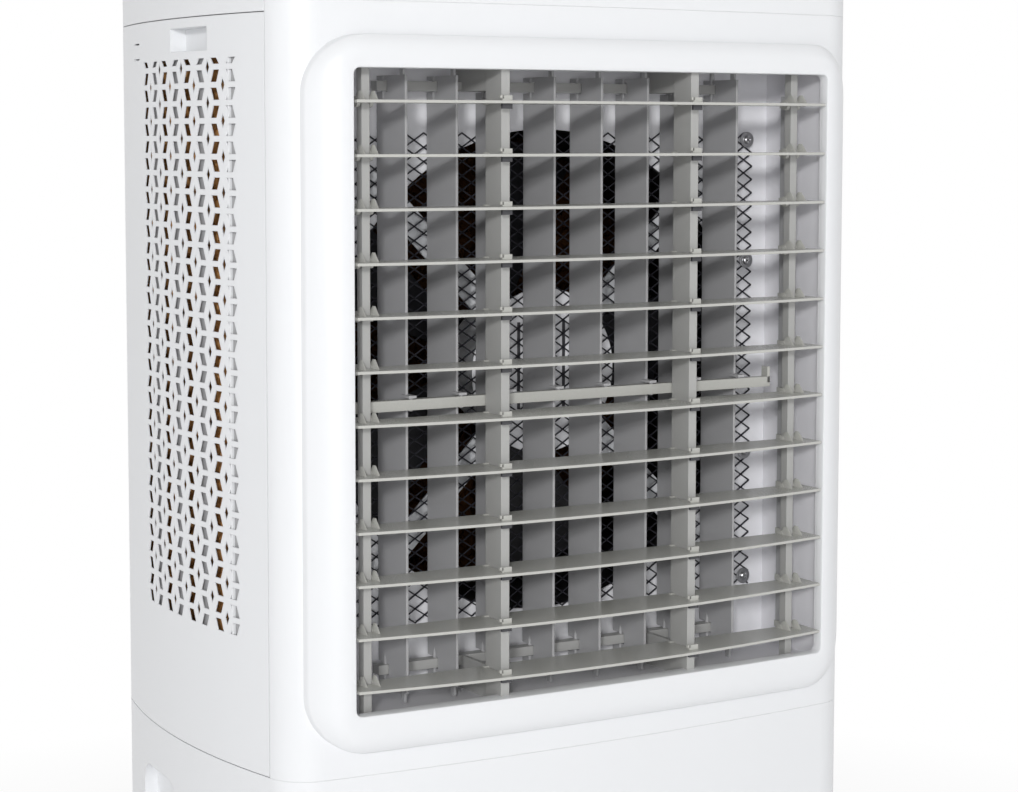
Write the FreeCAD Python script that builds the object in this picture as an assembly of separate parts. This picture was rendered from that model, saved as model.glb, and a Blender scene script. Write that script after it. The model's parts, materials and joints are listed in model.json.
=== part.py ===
import FreeCAD, Part
import math
import os

# Evaporative air cooler, millimetres, +Z up, origin on the floor under its centre, front faces -Y.
# Depths (names with "depth") are counted rearwards from the plane of the outlet opening.

# Outlet opening and bezel
outlet_width = 530.0
outlet_height = 585.0
outlet_bottom = 401.5
outlet_corner_radius = 6.0
bezel_bow = 8.0
bezel_side_margin = 39.0
bezel_side_drop = 26.0
bezel_end_margin = 30.0
bezel_end_drop = 17.0
bezel_corner_radius = 53.0
bezel_wall = 3.0
bezel_edge_land = 1.5
bezel_overrun = 2.0
bezel_back_room = 10.0
lip_depth = 10.0

# Body plan
corner_half_width = 317.0
side_bulge = 27.0
shell_mid_depth = 12.0
shell_bow = 16.0
rear_depth = 428.0
front_corner_radius = 42.0
rear_corner_radius = 32.0
wall = 2.5
front_seam_depth = 59.0
rear_seam_depth = 406.0
seam_gap = 0.8

# Heights
tank_bottom = 70.0
tank_top = 340.0
cover_bottom = 1047.0
cover_top = 1137.0
cover_edge_radius = 22.0
side_panel_top = 1037.0

# Horizontal louvres
louvre_count = 12
louvre_pitch = 48.5
first_louvre_drop = 29.7
louvre_thickness = 2.6
louvre_bow = 21.0
louvre_end_gap = 2.5
louvre_rear_depth = 34.5
louvre_axis_depth = 29.0
louvre_swing_degrees = 30.0
pin_radius = 2.5
pin_clearance = 0.08
notch_clearance = 1.0

# Posts of the louvre frame
inner_post_offset = 106.5
inner_post_width = 9.0
inner_post_front = 5.0
end_post_offset = 241.7
end_post_width = 8.0
end_post_front = 24.0
post_rear = 34.0
web_thickness = 4.0

# Louvre link
lever_offset = 248.0
lever_width = 3.0
lever_pin_depth = 53.0
link_pin_radius = 2.0
link_slot_clearance = 0.6
link_thickness = 4.0
link_side_gap = 0.5
link_depth_size = 11.0
link_end_margin = 9.0

# Upright vanes
vane_count = 8
vane_pitch = 53.7
vane_thickness = 2.5
vane_front_depth = 47.0
vane_rear_depth = 103.0
vane_bottom_gap = 2.5
vane_top_gap = 4.5
vane_axis_depth = 90.0
vane_swing_degrees = 25.0
rail_depth_size = 12.0
rail_height = 9.0
rail_floor_rise = 14.0
rail_notch_gap = 1.0
rail_overhang = 11.0
peg_length = 5.0
peg_tip = 8.0
ear_size = 6.0
ear_height = 9.0

# Vane link
vane_link_height = 678.0
vane_link_size = 10.0
vane_link_front = 36.0
vane_link_left = 249.0
vane_link_right = 224.0
vane_pin_depth = 39.5
tab_width = 8.0
tab_thickness = 2.5

# Air duct and fan panel
duct_side_gap = 9.0
duct_wall = 2.5
panel_depth = 112.0
panel_thickness = 2.0
panel_half_width = 300.0
fan_height = 694.0
orifice_radius = 238.5
shroud_length = 150.0
shroud_wall = 2.5

# Guard mesh
guard_width = 505.0
guard_bottom = 455.5
guard_top = 931.5
guard_depth = 106.5
guard_thickness = 1.9
guard_strand = 2.4
diamond_width = 42.0
diamond_height = 31.4
guard_screw_offset = 244.6
guard_screw_heights = (922.0, 797.0, 597.0, 465.0)
washer_radius = 8.0
washer_thickness = 1.2
screw_head_radius = 4.5
screw_head_height = 3.0
screw_radius = 2.0

# Motor, bracket and fan
strap_width = 26.0
strap_thickness = 2.0
strap_reach = 275.0
bracket_ring_radius = 82.0
motor_radius = 66.0
motor_length = 85.0
motor_flange_radius = 78.0
motor_flange_thickness = 3.0
motor_fit = 0.3
shaft_radius = 6.0
shaft_clearance = 0.08
shaft_engagement = 30.0
fan_depth = 205.0
hub_radius = 45.0
hub_length = 60.0
fan_radius = 228.0
blade_count = 5
blade_sector_degrees = 40.0
blade_tilt_degrees = 22.0
blade_thickness = 2.5

# Perforation
slot_pitch = 27.0
slot_row_pitch = 16.5
slot_width = 11.0
slot_height = 11.1
slot_slant = 4.8
gap_diamond_width = 7.2
gap_diamond_height = 14.5
grille_rows = 32
grille_wall = 1.2
grille_rim = 4.0
side_columns = 8
rear_columns = 8
grille_bottom = 464.0
side_grille_centre_depth = 206.0

# Pads and their frames
side_pad_front = 118.0
side_pad_rear = 345.0
side_pad_outer = 330.0
side_pad_thickness = 40.0
rear_pad_half_width = 250.0
rear_pad_front = 346.0
rear_pad_thickness = 72.0
pad_bottom = 446.0
pad_top = 999.0
pad_gap = 0.3
frame_wall = 2.5
frame_depth = 24.0
slat_width = 17.0
slat_outer_inset = 4.0
slat_inner_inset = 5.5
slat_shift = 9.0
stop_width = 12.0

# Side panel
recess_length = 77.0
recess_height = 22.0
recess_drop = 10.0
recess_inset = 4.5
recess_centre_depth = 191.0
catch_slot_depth = 334.0
catch_slot_length = 20.0
catch_slot_height = 1.6
catch_slot_rises = (1001.0, 1016.0)

# Water tank
rim_width = 20.0
rim_height = 6.0
grip_length = 100.0
grip_height = 50.0
grip_top = 293.5
grip_corner_radius = 24.0
grip_inset = 22.0
grip_centre_depth = 287.0

# Casters
caster_offset_x = 205.0
caster_front_depth = 85.0
caster_rear_depth = 365.0
wheel_radius = 25.0
wheel_width = 22.0
wheel_trail = 18.0
axle_radius = 4.0
fork_wall = 2.5
fork_gap = 1.0
caster_plate_radius = 19.0
caster_plate_height = 6.0
caster_top_gap = 2.0
stem_radius = 5.0
stem_length = 22.0
boss_wall = 5.0

# Drain and water inlet
port_pocket = 56.0
port_pocket_inset = 26.0
drain_x = -120.0
drain_height = 106.0
spigot_radius = 12.0
spigot_length = 18.0
spigot_bore = 9.0
cap_wall = 3.0
cap_top = 3.0
inlet_x = 180.0
inlet_height = 300.0
inlet_radius = 10.0
inlet_length = 20.0
inlet_bore = 6.0
valve_body_radius = 14.0
valve_body_length = 34.0
float_arm_length = 95.0
float_radius = 28.0
float_length = 60.0

# Cord gland in the rear wall
gland_x = 212.4
gland_rise = 40.0
gland_radius = 9.0
gland_bore = 4.0
gland_length = 22.0

# Pump and water distributor
pump_x = -262.0
pump_depth = 366.0
pump_width = 56.0
pump_height = 62.0
hose_radius = 8.0
hose_wall = 2.0
tray_height = 24.0
tray_half_width = 312.0
tray_side_inner = 292.0
tray_rear_front = 300.0
tray_rear_back = 420.0
tray_wall = 2.5
drip_radius = 3.0
drip_count = 12

# Top cover, controls and fill door
deck_thickness = 3.0
control_half_width = 150.0
control_front_depth = 55.0
control_rear_depth = 125.0
control_thickness = 3.0
ledge_width = 5.0
fit_gap = 0.3
button_count = 4
button_pitch = 42.0
button_radius = 9.0
button_rise = 2.0
button_travel = 1.5
button_flange = 1.6
button_flange_lip = 2.0
board_half_depth = 14.0
board_thickness = 1.6
board_post = 4.0
display_width = 64.0
display_height = 24.0
display_x = -95.0
door_half_width = 100.0
door_front_depth = 300.0
door_rear_depth = 398.0
door_thickness = 4.0
door_pin_radius = 1.5
door_pin_length = 4.0
door_side_gap = 0.6
door_knuckle_radius = 2.5

# Values worked out from the sizes above
out_y = louvre_bow - (louvre_bow + rear_depth) / 2
outlet_top = outlet_bottom + outlet_height
half_outlet = outlet_width / 2
duct_half_width = half_outlet + duct_side_gap
duct_bottom = outlet_bottom - duct_side_gap
duct_top = outlet_top + duct_side_gap
first_louvre_height = outlet_top - first_louvre_drop
lever_reach = lever_pin_depth - louvre_axis_depth
lever_pull = lever_reach * (1 - math.cos(math.radians(louvre_swing_degrees)))
link_y_front = lever_pin_depth - lever_pull - link_pin_radius - link_slot_clearance / 2
louvre_link_x = lever_offset + lever_width + link_side_gap
vane_bottom = outlet_bottom + vane_bottom_gap
vane_top = outlet_top - vane_top_gap
low_rail_bottom = outlet_bottom + rail_floor_rise
high_rail_top = vane_top - peg_length
last_vane_offset = vane_pitch * (vane_count - 1) / 2
rail_half = last_vane_offset + rail_overhang
mesh_y = out_y + guard_depth

os.makedirs("parts", exist_ok=True)


def box(x0, x1, y0, y1, z0, z1):
    return Part.makeBox(x1 - x0, y1 - y0, z1 - z0, FreeCAD.Vector(x0, y0, z0))


def rod(radius, start, end):
    a = FreeCAD.Vector(*start)
    b = FreeCAD.Vector(*end)
    return Part.makeCylinder(radius, (b - a).Length, a, b - a)


def cone(radius, start, end):
    a = FreeCAD.Vector(*start)
    b = FreeCAD.Vector(*end)
    return Part.makeCone(radius, radius / 5, (b - a).Length, a, b - a)


def join(shapes):
    return shapes[0].fuse(shapes[1:]).removeSplitter()


def arc(a, b, c):
    return Part.Arc(FreeCAD.Vector(*a), FreeCAD.Vector(*b), FreeCAD.Vector(*c)).toShape()


def line(a, b):
    return Part.makeLine(FreeCAD.Vector(*a), FreeCAD.Vector(*b))


def polygon(points):
    vectors = [FreeCAD.Vector(*p) for p in points]
    return Part.makePolygon(vectors + vectors[:1])


def prism(points, direction):
    return Part.Face(polygon(points)).extrude(FreeCAD.Vector(*direction))


def pierced(outline, holes):
    return Part.Face([outline] + [hole.reversed() for hole in holes])


def rounded_prism(half_width, z0, z1, y0, y1, radius):
    block = box(-half_width, half_width, y0, y1, z0, z1)
    edges = []
    for edge in block.Edges:
        if abs(edge.tangentAt(edge.FirstParameter).y) > 0.9:
            edges.append(edge)
    return block.makeFillet(radius, edges)


def rounded_pocket(x0, x1, y0, y1, z0, z1, radius):
    block = box(min(x0, x1), max(x0, x1), y0, y1, z0, z1)
    edges = [e for e in block.Edges if abs(e.tangentAt(e.FirstParameter).x) > 0.9]
    return block.makeFillet(radius, edges)


def mirror_x(shape):
    return shape.mirror(FreeCAD.Vector(0, 0, 0), FreeCAD.Vector(1, 0, 0))


def save(shape, name):
    shape.exportStep("parts/" + name + ".step")


def body_block(inset, z0, z1):
    # Plan of the body: bowed front, bulging sides, flat rear, four rounded corners.
    x = corner_half_width - inset
    apex = x + side_bulge
    front = out_y + shell_mid_depth + shell_bow + inset
    middle = out_y + shell_mid_depth + inset
    rear = out_y + rear_depth - inset
    half_way = (front + rear) / 2
    outline = Part.Wire([
        arc((-x, front, z0), (0, middle, z0), (x, front, z0)),
        arc((x, front, z0), (apex, half_way, z0), (x, rear, z0)),
        line((x, rear, z0), (-x, rear, z0)),
        arc((-x, rear, z0), (-apex, half_way, z0), (-x, front, z0)),
    ])
    block = Part.Face(outline).extrude(FreeCAD.Vector(0, 0, z1 - z0))
    upright = [e for e in block.Edges if abs(e.tangentAt(e.FirstParameter).z) > 0.9]
    front_edges = [e for e in upright if e.CenterOfMass.y < half_way]
    block = block.makeFillet(front_corner_radius - inset, front_edges)
    upright = [e for e in block.Edges if abs(e.tangentAt(e.FirstParameter).z) > 0.9]
    rear_edges = [e for e in upright if e.CenterOfMass.y > rear - 1]
    return block.makeFillet(rear_corner_radius - inset, rear_edges)


def slot_wires(columns, to_point):
    # Slanted slots in zigzag columns; a narrow diamond where two zigzags part.
    wires = []
    first = -(columns - 1) / 2 * slot_pitch
    for column in range(columns):
        u = first + column * slot_pitch
        for row in range(grille_rows + 1):
            leaning = (column + row) % 2 == 1
            slant = slot_slant / 2 if leaning else -slot_slant / 2
            v0 = grille_bottom + row * slot_row_pitch
            v1 = v0 + slot_height
            if row == grille_rows:
                v1 = v0 + slot_height / 2
            w = slot_width / 2
            wires.append(polygon([
                to_point(u - w - slant, v0),
                to_point(u + w - slant, v0),
                to_point(u + w + slant, v1),
                to_point(u - w + slant, v1),
            ]))
            if leaning and column < columns - 1 and row > 0:
                uc = u + slot_pitch / 2
                vc = v0 - (slot_row_pitch - slot_height) / 2
                wires.append(polygon([
                    to_point(uc - gap_diamond_width / 2, vc),
                    to_point(uc, vc - gap_diamond_height / 2),
                    to_point(uc + gap_diamond_width / 2, vc),
                    to_point(uc, vc + gap_diamond_height / 2),
                ]))
    return wires


def make_tank():
    outer = body_block(0, tank_bottom, tank_top)
    low_edges = [e for e in outer.Edges if e.BoundBox.ZMax < tank_bottom + 0.1]
    outer = outer.makeFillet(wall * 3, low_edges)
    inner = body_block(wall, tank_bottom + wall, tank_top - rim_height)
    mouth = body_block(rim_width, tank_top - rim_height - 1, tank_top + 1)
    tank = outer.cut([inner, mouth])
    grip_y = out_y + grip_centre_depth
    reach = corner_half_width + side_bulge + 1
    inside = reach - 1 - grip_inset
    additions = []
    cuts = []
    for side in (-1, 1):
        additions.append(rounded_pocket(
            side * (inside - wall), side * reach,
            grip_y - grip_length / 2 - wall, grip_y + grip_length / 2 + wall,
            grip_top - grip_height - wall, grip_top + wall, grip_corner_radius + wall,
        ))
        cuts.append(rounded_pocket(
            side * inside, side * reach,
            grip_y - grip_length / 2, grip_y + grip_length / 2,
            grip_top - grip_height, grip_top, grip_corner_radius,
        ))
    rear_y = out_y + rear_depth
    for x, z in ((drain_x, drain_height), (inlet_x, inlet_height)):
        half = port_pocket / 2
        additions.append(box(
            x - half - wall, x + half + wall,
            rear_y - port_pocket_inset - wall, rear_y - wall / 2,
            z - half - wall, z + half + wall,
        ))
        cuts.append(box(x - half, x + half, rear_y - port_pocket_inset, rear_y + 1, z - half, z + half))
    # Keep the pocket walls inside the outer skin.
    pockets = [a.common(outer) for a in additions]
    for x, y in caster_places():
        pockets.append(rod(
            stem_radius + boss_wall,
            (x, y, tank_bottom), (x, y, tank_bottom + stem_length + boss_wall),
        ))
    tank = tank.fuse(pockets).cut(cuts)
    pocket_floor = rear_y - port_pocket_inset
    tank = tank.fuse(rod(
        spigot_radius, (drain_x, pocket_floor, drain_height),
        (drain_x, pocket_floor + spigot_length, drain_height),
    ))
    holes = [
        rod(
            spigot_bore, (drain_x, pocket_floor - 2 * wall, drain_height),
            (drain_x, pocket_floor + spigot_length + 1, drain_height),
        ),
        rod(
            inlet_radius + fit_gap, (inlet_x, pocket_floor - 2 * wall, inlet_height),
            (inlet_x, pocket_floor + 1, inlet_height),
        ),
    ]
    for x, y in caster_places():
        holes.append(rod(
            stem_radius + pin_clearance / 2,
            (x, y, tank_bottom - 1), (x, y, tank_bottom + stem_length + 0.3),
        ))
    save(tank.cut(holes).removeSplitter(), "water_tank")


def caster_places():
    places = []
    for depth in (caster_front_depth, caster_rear_depth):
        for side in (-1, 1):
            places.append((side * caster_offset_x, out_y + depth))
    return places


def make_casters():
    plate_top = tank_bottom - caster_top_gap
    plate_bottom = plate_top - caster_plate_height
    for number, (x, y) in enumerate(caster_places(), 1):
        axle_y = y + wheel_trail
        gap = wheel_width / 2 + fork_gap
        parts = [
            rod(caster_plate_radius, (x, y, plate_bottom), (x, y, plate_top)),
            rod(stem_radius, (x, y, plate_bottom), (x, y, tank_bottom + stem_length)),
            rod(stem_radius + 3, (x, y, plate_bottom), (x, y, tank_bottom - fit_gap)),
            rod(axle_radius, (x - gap - fork_wall, axle_y, wheel_radius),
                (x + gap + fork_wall, axle_y, wheel_radius)),
        ]
        for side in (-1, 1):
            a = x + side * gap
            b = x + side * (gap + fork_wall)
            x0, x1 = min(a, b), max(a, b)
            parts.append(prism([
                (x0, y - caster_plate_radius * 0.6, plate_bottom + 1),
                (x0, axle_y - axle_radius * 2, wheel_radius - axle_radius * 2),
                (x0, axle_y + axle_radius * 2, wheel_radius - axle_radius * 2),
                (x0, axle_y + axle_radius * 2, wheel_radius + axle_radius * 2),
                (x0, y + caster_plate_radius * 0.6, plate_bottom + 1),
            ], (x1 - x0, 0, 0)))
        save(join(parts), "caster_fork_%d" % number)
        wheel = rod(wheel_radius, (x - wheel_width / 2, axle_y, wheel_radius),
                    (x + wheel_width / 2, axle_y, wheel_radius))
        wheel = wheel.makeFillet(3, [e for e in wheel.Edges if len(e.Vertexes) == 1])
        bore = rod(axle_radius + pin_clearance, (x - wheel_width, axle_y, wheel_radius),
                   (x + wheel_width, axle_y, wheel_radius))
        save(wheel.cut(bore), "caster_wheel_%d" % number)


def make_drain_and_inlet():
    pocket_floor = out_y + rear_depth - port_pocket_inset
    inner = spigot_radius + pin_clearance
    start = pocket_floor + fit_gap
    end = pocket_floor + spigot_length + fit_gap
    cap = rod(inner + cap_wall, (drain_x, start, drain_height), (drain_x, end + cap_top, drain_height))
    cap = cap.cut(rod(inner, (drain_x, start - 1, drain_height), (drain_x, end, drain_height)))
    wing = box(
        drain_x - inner - cap_wall, drain_x + inner + cap_wall,
        end + cap_top, end + cap_top + wall,
        drain_height - wall, drain_height + wall,
    )
    save(join([cap, wing]), "drain_cap")

    inner_face = pocket_floor - wall
    stub = [
        rod(inlet_radius, (inlet_x, inner_face - 1, inlet_height),
            (inlet_x, pocket_floor + inlet_length, inlet_height)),
        rod(inlet_radius + 4, (inlet_x, pocket_floor + fit_gap, inlet_height),
            (inlet_x, pocket_floor + 3, inlet_height)),
        rod(valve_body_radius, (inlet_x, inner_face - valve_body_length, inlet_height),
            (inlet_x, inner_face - fit_gap, inlet_height)),
    ]
    pivot_y = inner_face - valve_body_length - 8
    for side in (-1, 1):
        x = inlet_x + side * 6
        stub.append(box(x - 1.5, x + 1.5, pivot_y - 5, pivot_y + 9, inlet_height - 5, inlet_height + 5))
    body = join(stub)
    body = body.cut([
        rod(inlet_bore, (inlet_x, inner_face - valve_body_length / 2, inlet_height),
            (inlet_x, pocket_floor + inlet_length + 1, inlet_height)),
        rod(1.6, (inlet_x - 10, pivot_y, inlet_height), (inlet_x + 10, pivot_y, inlet_height)),
    ])
    save(body, "inlet_valve")
    end_y = pivot_y - float_arm_length
    arm = [
        rod(1.5, (inlet_x - 8, pivot_y, inlet_height), (inlet_x + 8, pivot_y, inlet_height)),
        rod(4, (inlet_x - 3, pivot_y, inlet_height), (inlet_x + 3, pivot_y, inlet_height)),
        rod(2, (inlet_x, pivot_y, inlet_height), (inlet_x, end_y, inlet_height)),
        rod(float_radius, (inlet_x - float_length / 2, end_y, inlet_height),
            (inlet_x + float_length / 2, end_y, inlet_height)),
    ]
    save(join(arm), "float_arm")


def shell_ring():
    outer = body_block(0, tank_top, cover_bottom)
    return outer, outer.cut(body_block(wall, tank_top - 1, cover_bottom + 1))


def make_front_shell(ring):
    width = corner_half_width + side_bulge + 10
    front = ring.common(box(-width, width, out_y - 20, out_y + front_seam_depth, tank_top, cover_bottom))
    opening = box(
        -duct_half_width - duct_wall - fit_gap, duct_half_width + duct_wall + fit_gap,
        out_y - 5, out_y + shell_mid_depth + shell_bow + wall * 2,
        duct_bottom - duct_wall - fit_gap, duct_top + duct_wall + fit_gap,
    )
    save(front.cut(opening), "front_shell")


def bezel_skin(inset):
    # Bowed in plan, falling back in an arc beyond each edge of the opening.
    y0 = out_y + inset
    x0 = half_outlet + bezel_edge_land
    x1 = half_outlet + bezel_side_margin - inset
    x2 = x1 + bezel_overrun
    back = out_y + shell_mid_depth + shell_bow + bezel_back_room
    z0 = outlet_bottom - 2 * bezel_end_margin
    z1 = outlet_top + 2 * bezel_end_margin
    fall = y0 + bezel_side_drop
    mid = (x0 + 0.59 * (x2 - x0), y0 + 0.3 * bezel_side_drop, z0)
    mid_left = (-mid[0], mid[1], mid[2])
    outline = Part.Wire([
        arc((-x2, fall, z0), mid_left, (-x0, y0, z0)),
        arc((-x0, y0, z0), (0, y0 - bezel_bow, z0), (x0, y0, z0)),
        arc((x0, y0, z0), mid, (x2, fall, z0)),
        line((x2, fall, z0), (x2, back, z0)),
        line((x2, back, z0), (-x2, back, z0)),
        line((-x2, back, z0), (-x2, fall, z0)),
    ])
    plan = Part.Face(outline).extrude(FreeCAD.Vector(0, 0, z1 - z0))
    front = y0 - bezel_bow
    fall = front + bezel_end_drop
    top = outlet_top + bezel_end_margin - inset
    bottom = outlet_bottom - bezel_end_margin + inset
    high_end = top + bezel_overrun
    low_end = bottom - bezel_overrun
    high_start = outlet_top + bezel_edge_land
    low_start = outlet_bottom - bezel_edge_land
    high = (-x2, front + 0.3 * bezel_end_drop, high_start + 0.59 * (high_end - high_start))
    low = (-x2, front + 0.3 * bezel_end_drop, low_start + 0.59 * (low_end - low_start))
    side = Part.Wire([
        arc((-x2, fall, high_end), high, (-x2, front, high_start)),
        line((-x2, front, high_start), (-x2, front, low_start)),
        arc((-x2, front, low_start), low, (-x2, fall, low_end)),
        line((-x2, fall, low_end), (-x2, back, low_end)),
        line((-x2, back, low_end), (-x2, back, high_end)),
        line((-x2, back, high_end), (-x2, fall, high_end)),
    ])
    crown = Part.Face(side).extrude(FreeCAD.Vector(2 * x2, 0, 0))
    ring = rounded_prism(x1, bottom, top, front - 5, back + 5, bezel_corner_radius - inset)
    return plan.common(crown).common(ring)


def make_bezel():
    back = out_y + shell_mid_depth + shell_bow + 2 * bezel_back_room
    shell = body_block(0, outlet_bottom - 3 * bezel_end_margin, outlet_top + 3 * bezel_end_margin)
    keep = rounded_prism(
        half_outlet + bezel_wall, outlet_bottom - bezel_wall, outlet_top + bezel_wall,
        out_y - 30, back, outlet_corner_radius + bezel_wall,
    )
    hollow = bezel_skin(bezel_wall).cut(keep)
    opening = rounded_prism(half_outlet, outlet_bottom, outlet_top, out_y - 40, back, outlet_corner_radius)
    # The wall round the opening ends where the duct begins.
    behind = box(
        -half_outlet - 2 * bezel_wall, half_outlet + 2 * bezel_wall, out_y + lip_depth, back,
        outlet_bottom - 2 * bezel_wall, outlet_top + 2 * bezel_wall,
    )
    bezel = bezel_skin(0).cut([shell, hollow, opening, behind])
    save(bezel.removeSplitter(), "outlet_bezel")


def pad_frame(x0, x1, y0, y1, open_axis):
    # Four walls around a pad, open along one axis.
    grow = pad_gap + frame_wall
    if open_axis == "x":
        outer = box(x0, x1, y0 - grow, y1 + grow, pad_bottom - grow, pad_top + grow)
        hole = box(x0 - 1, x1 + 1, y0 - pad_gap, y1 + pad_gap, pad_bottom - pad_gap, pad_top + pad_gap)
    else:
        outer = box(x0 - grow, x1 + grow, y0, y1, pad_bottom - grow, pad_top + grow)
        hole = box(x0 - pad_gap, x1 + pad_gap, y0 - 1, y1 + 1, pad_bottom - pad_gap, pad_top + pad_gap)
    return outer.cut(hole)


def make_side_panels(outer, ring):
    reach = corner_half_width + side_bulge + 10
    inner_x = reach - 60
    gap_top = side_panel_top - seam_gap
    gap_bottom = tank_top + seam_gap
    strip = ring.common(box(
        -reach, -inner_x + 20, out_y + front_seam_depth + seam_gap,
        out_y + rear_seam_depth - seam_gap, gap_bottom, gap_top,
    ))
    centre_y = out_y + side_grille_centre_depth

    def to_point(u, v):
        return (-reach, centre_y + u, v)

    outline = polygon([
        (-reach, out_y, tank_top), (-reach, out_y + rear_depth, tank_top),
        (-reach, out_y + rear_depth, cover_bottom), (-reach, out_y, cover_bottom),
    ])
    sieve = pierced(outline, slot_wires(side_columns, to_point))
    # The perforated field is a thinner sheet than the rest of the panel.
    field_half = (side_columns * slot_pitch) / 2 + grille_rim
    field_top = grille_bottom + grille_rows * slot_row_pitch + slot_height / 2 + grille_rim
    field = body_block(grille_wall, grille_bottom - grille_rim, field_top)
    field = field.common(box(
        -reach, 0, centre_y - field_half, centre_y + field_half, grille_bottom - grille_rim, field_top,
    ))
    skin = strip.cut(field).common(sieve.extrude(FreeCAD.Vector(reach - inner_x + 20, 0, 0)))
    y0 = out_y + side_pad_front
    y1 = out_y + side_pad_rear
    behind_skin = body_block(grille_wall / 2, tank_top, cover_bottom)
    frame = pad_frame(-reach, -side_pad_outer + frame_depth, y0, y1, "x").common(behind_skin)
    pieces = [frame]
    slat_low = pad_bottom - 1
    slat_high = pad_top + 1
    layer = body_block(slat_outer_inset, slat_low, slat_high)
    layer = layer.cut(body_block(slat_inner_inset, slat_low - 1, slat_high + 1))
    for column in range(0, side_columns, 2):
        y = centre_y + (column - (side_columns - 1) / 2) * slot_pitch + slat_shift
        pieces.append(layer.common(box(
            -reach, 0, y - slat_width / 2, y + slat_width / 2, slat_low, slat_high,
        )))
    recess_y = out_y + recess_centre_depth
    recess_top = side_panel_top - recess_drop
    cup = box(
        -side_pad_outer - 12, -side_pad_outer + recess_inset,
        recess_y - recess_length / 2 - wall, recess_y + recess_length / 2 + wall,
        recess_top - recess_height - wall, recess_top + wall,
    ).common(outer)
    hollow = box(
        -reach, -side_pad_outer + recess_inset - wall,
        recess_y - recess_length / 2, recess_y + recess_length / 2,
        recess_top - recess_height, recess_top,
    )
    cuts = [hollow]
    catch_y = out_y + catch_slot_depth
    for z in catch_slot_rises:
        cuts.append(box(
            -reach, -side_pad_outer - 2, catch_y - catch_slot_length / 2, catch_y + catch_slot_length / 2,
            z - catch_slot_height / 2, z + catch_slot_height / 2,
        ))
    panel = skin.fuse(pieces + [cup]).cut(cuts)
    save(panel, "left_panel")
    save(mirror_x(panel), "right_panel")
    pad = box(-side_pad_outer, -side_pad_outer + side_pad_thickness, y0, y1, pad_bottom, pad_top)
    save(pad, "left_pad")
    save(mirror_x(pad), "right_pad")


def make_rear_shell(outer, ring):
    width = corner_half_width + side_bulge + 10
    rear_y = out_y + rear_depth
    back = ring.common(box(-width, width, out_y + rear_seam_depth, rear_y + 1, tank_top, cover_bottom))

    def to_point(u, v):
        return (u, rear_y - wall, v)

    window_half = rear_pad_half_width - wall
    window = polygon([
        to_point(-window_half, pad_bottom), to_point(window_half, pad_bottom),
        to_point(window_half, pad_top), to_point(-window_half, pad_top),
    ])
    sieve = pierced(window, slot_wires(rear_columns, to_point)).extrude(FreeCAD.Vector(0, wall, 0))
    back = back.cut(box(-window_half, window_half, rear_y - wall - 1, rear_y + 1, pad_bottom, pad_top))
    pad_back = out_y + rear_pad_front + rear_pad_thickness
    frame = pad_frame(
        -rear_pad_half_width, rear_pad_half_width, pad_back - frame_depth, rear_y - wall / 2, "y",
    )
    stops = []
    for x in (-rear_pad_half_width / 2, rear_pad_half_width / 2):
        stops.append(box(
            x - stop_width / 2, x + stop_width / 2, pad_back + pad_gap, rear_y - wall / 2,
            pad_bottom, pad_top,
        ))
    gland_z = tank_top + gland_rise
    gland = rod(gland_radius, (gland_x, rear_y - gland_length, gland_z), (gland_x, rear_y - wall / 2, gland_z))
    bore = rod(gland_bore, (gland_x, rear_y - gland_length - 1, gland_z), (gland_x, rear_y + 1, gland_z))
    save(back.fuse([sieve, frame, gland] + stops).cut(bore), "rear_shell")
    save(box(
        -rear_pad_half_width, rear_pad_half_width, out_y + rear_pad_front, pad_back,
        pad_bottom, pad_top,
    ), "rear_pad")


def make_duct():
    front = out_y + lip_depth
    rear = out_y + panel_depth
    outer = box(
        -duct_half_width - duct_wall, duct_half_width + duct_wall, front, rear,
        duct_bottom - duct_wall, duct_top + duct_wall,
    )
    inner = box(-duct_half_width, duct_half_width, front - 1, rear + 1, duct_bottom, duct_top)
    # Front rim reaching in to the lip of the bezel.
    rim = box(-duct_half_width, duct_half_width, front, front + duct_wall, duct_bottom, duct_top)
    rim = rim.cut(rounded_prism(
        half_outlet, outlet_bottom, outlet_top, front - 1, front + 5, outlet_corner_radius,
    ))
    duct = outer.cut(inner).fuse(rim)
    shaft_x = last_vane_offset
    hole = rod(
        pin_radius + pin_clearance, (shaft_x, out_y + vane_axis_depth, duct_top - 1),
        (shaft_x, out_y + vane_axis_depth, duct_top + duct_wall + 1),
    )
    save(duct.cut(hole), "air_duct")
    y = out_y + vane_axis_depth
    base = duct_top + duct_wall
    motor = join([
        box(shaft_x - 25, shaft_x + 25, y - 30, y + 18, base + 2, base + 24),
        box(shaft_x - 36, shaft_x + 36, y - 12, y + 12, base, base + 2),
    ])
    socket = rod(pin_radius + pin_clearance, (shaft_x, y, base - 1), (shaft_x, y, base + 12))
    save(motor.cut(socket), "swing_motor")


def louvre_heights():
    return [first_louvre_height - i * louvre_pitch for i in range(louvre_count)]


def vane_offsets():
    return [-last_vane_offset + i * vane_pitch for i in range(vane_count)]


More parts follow.
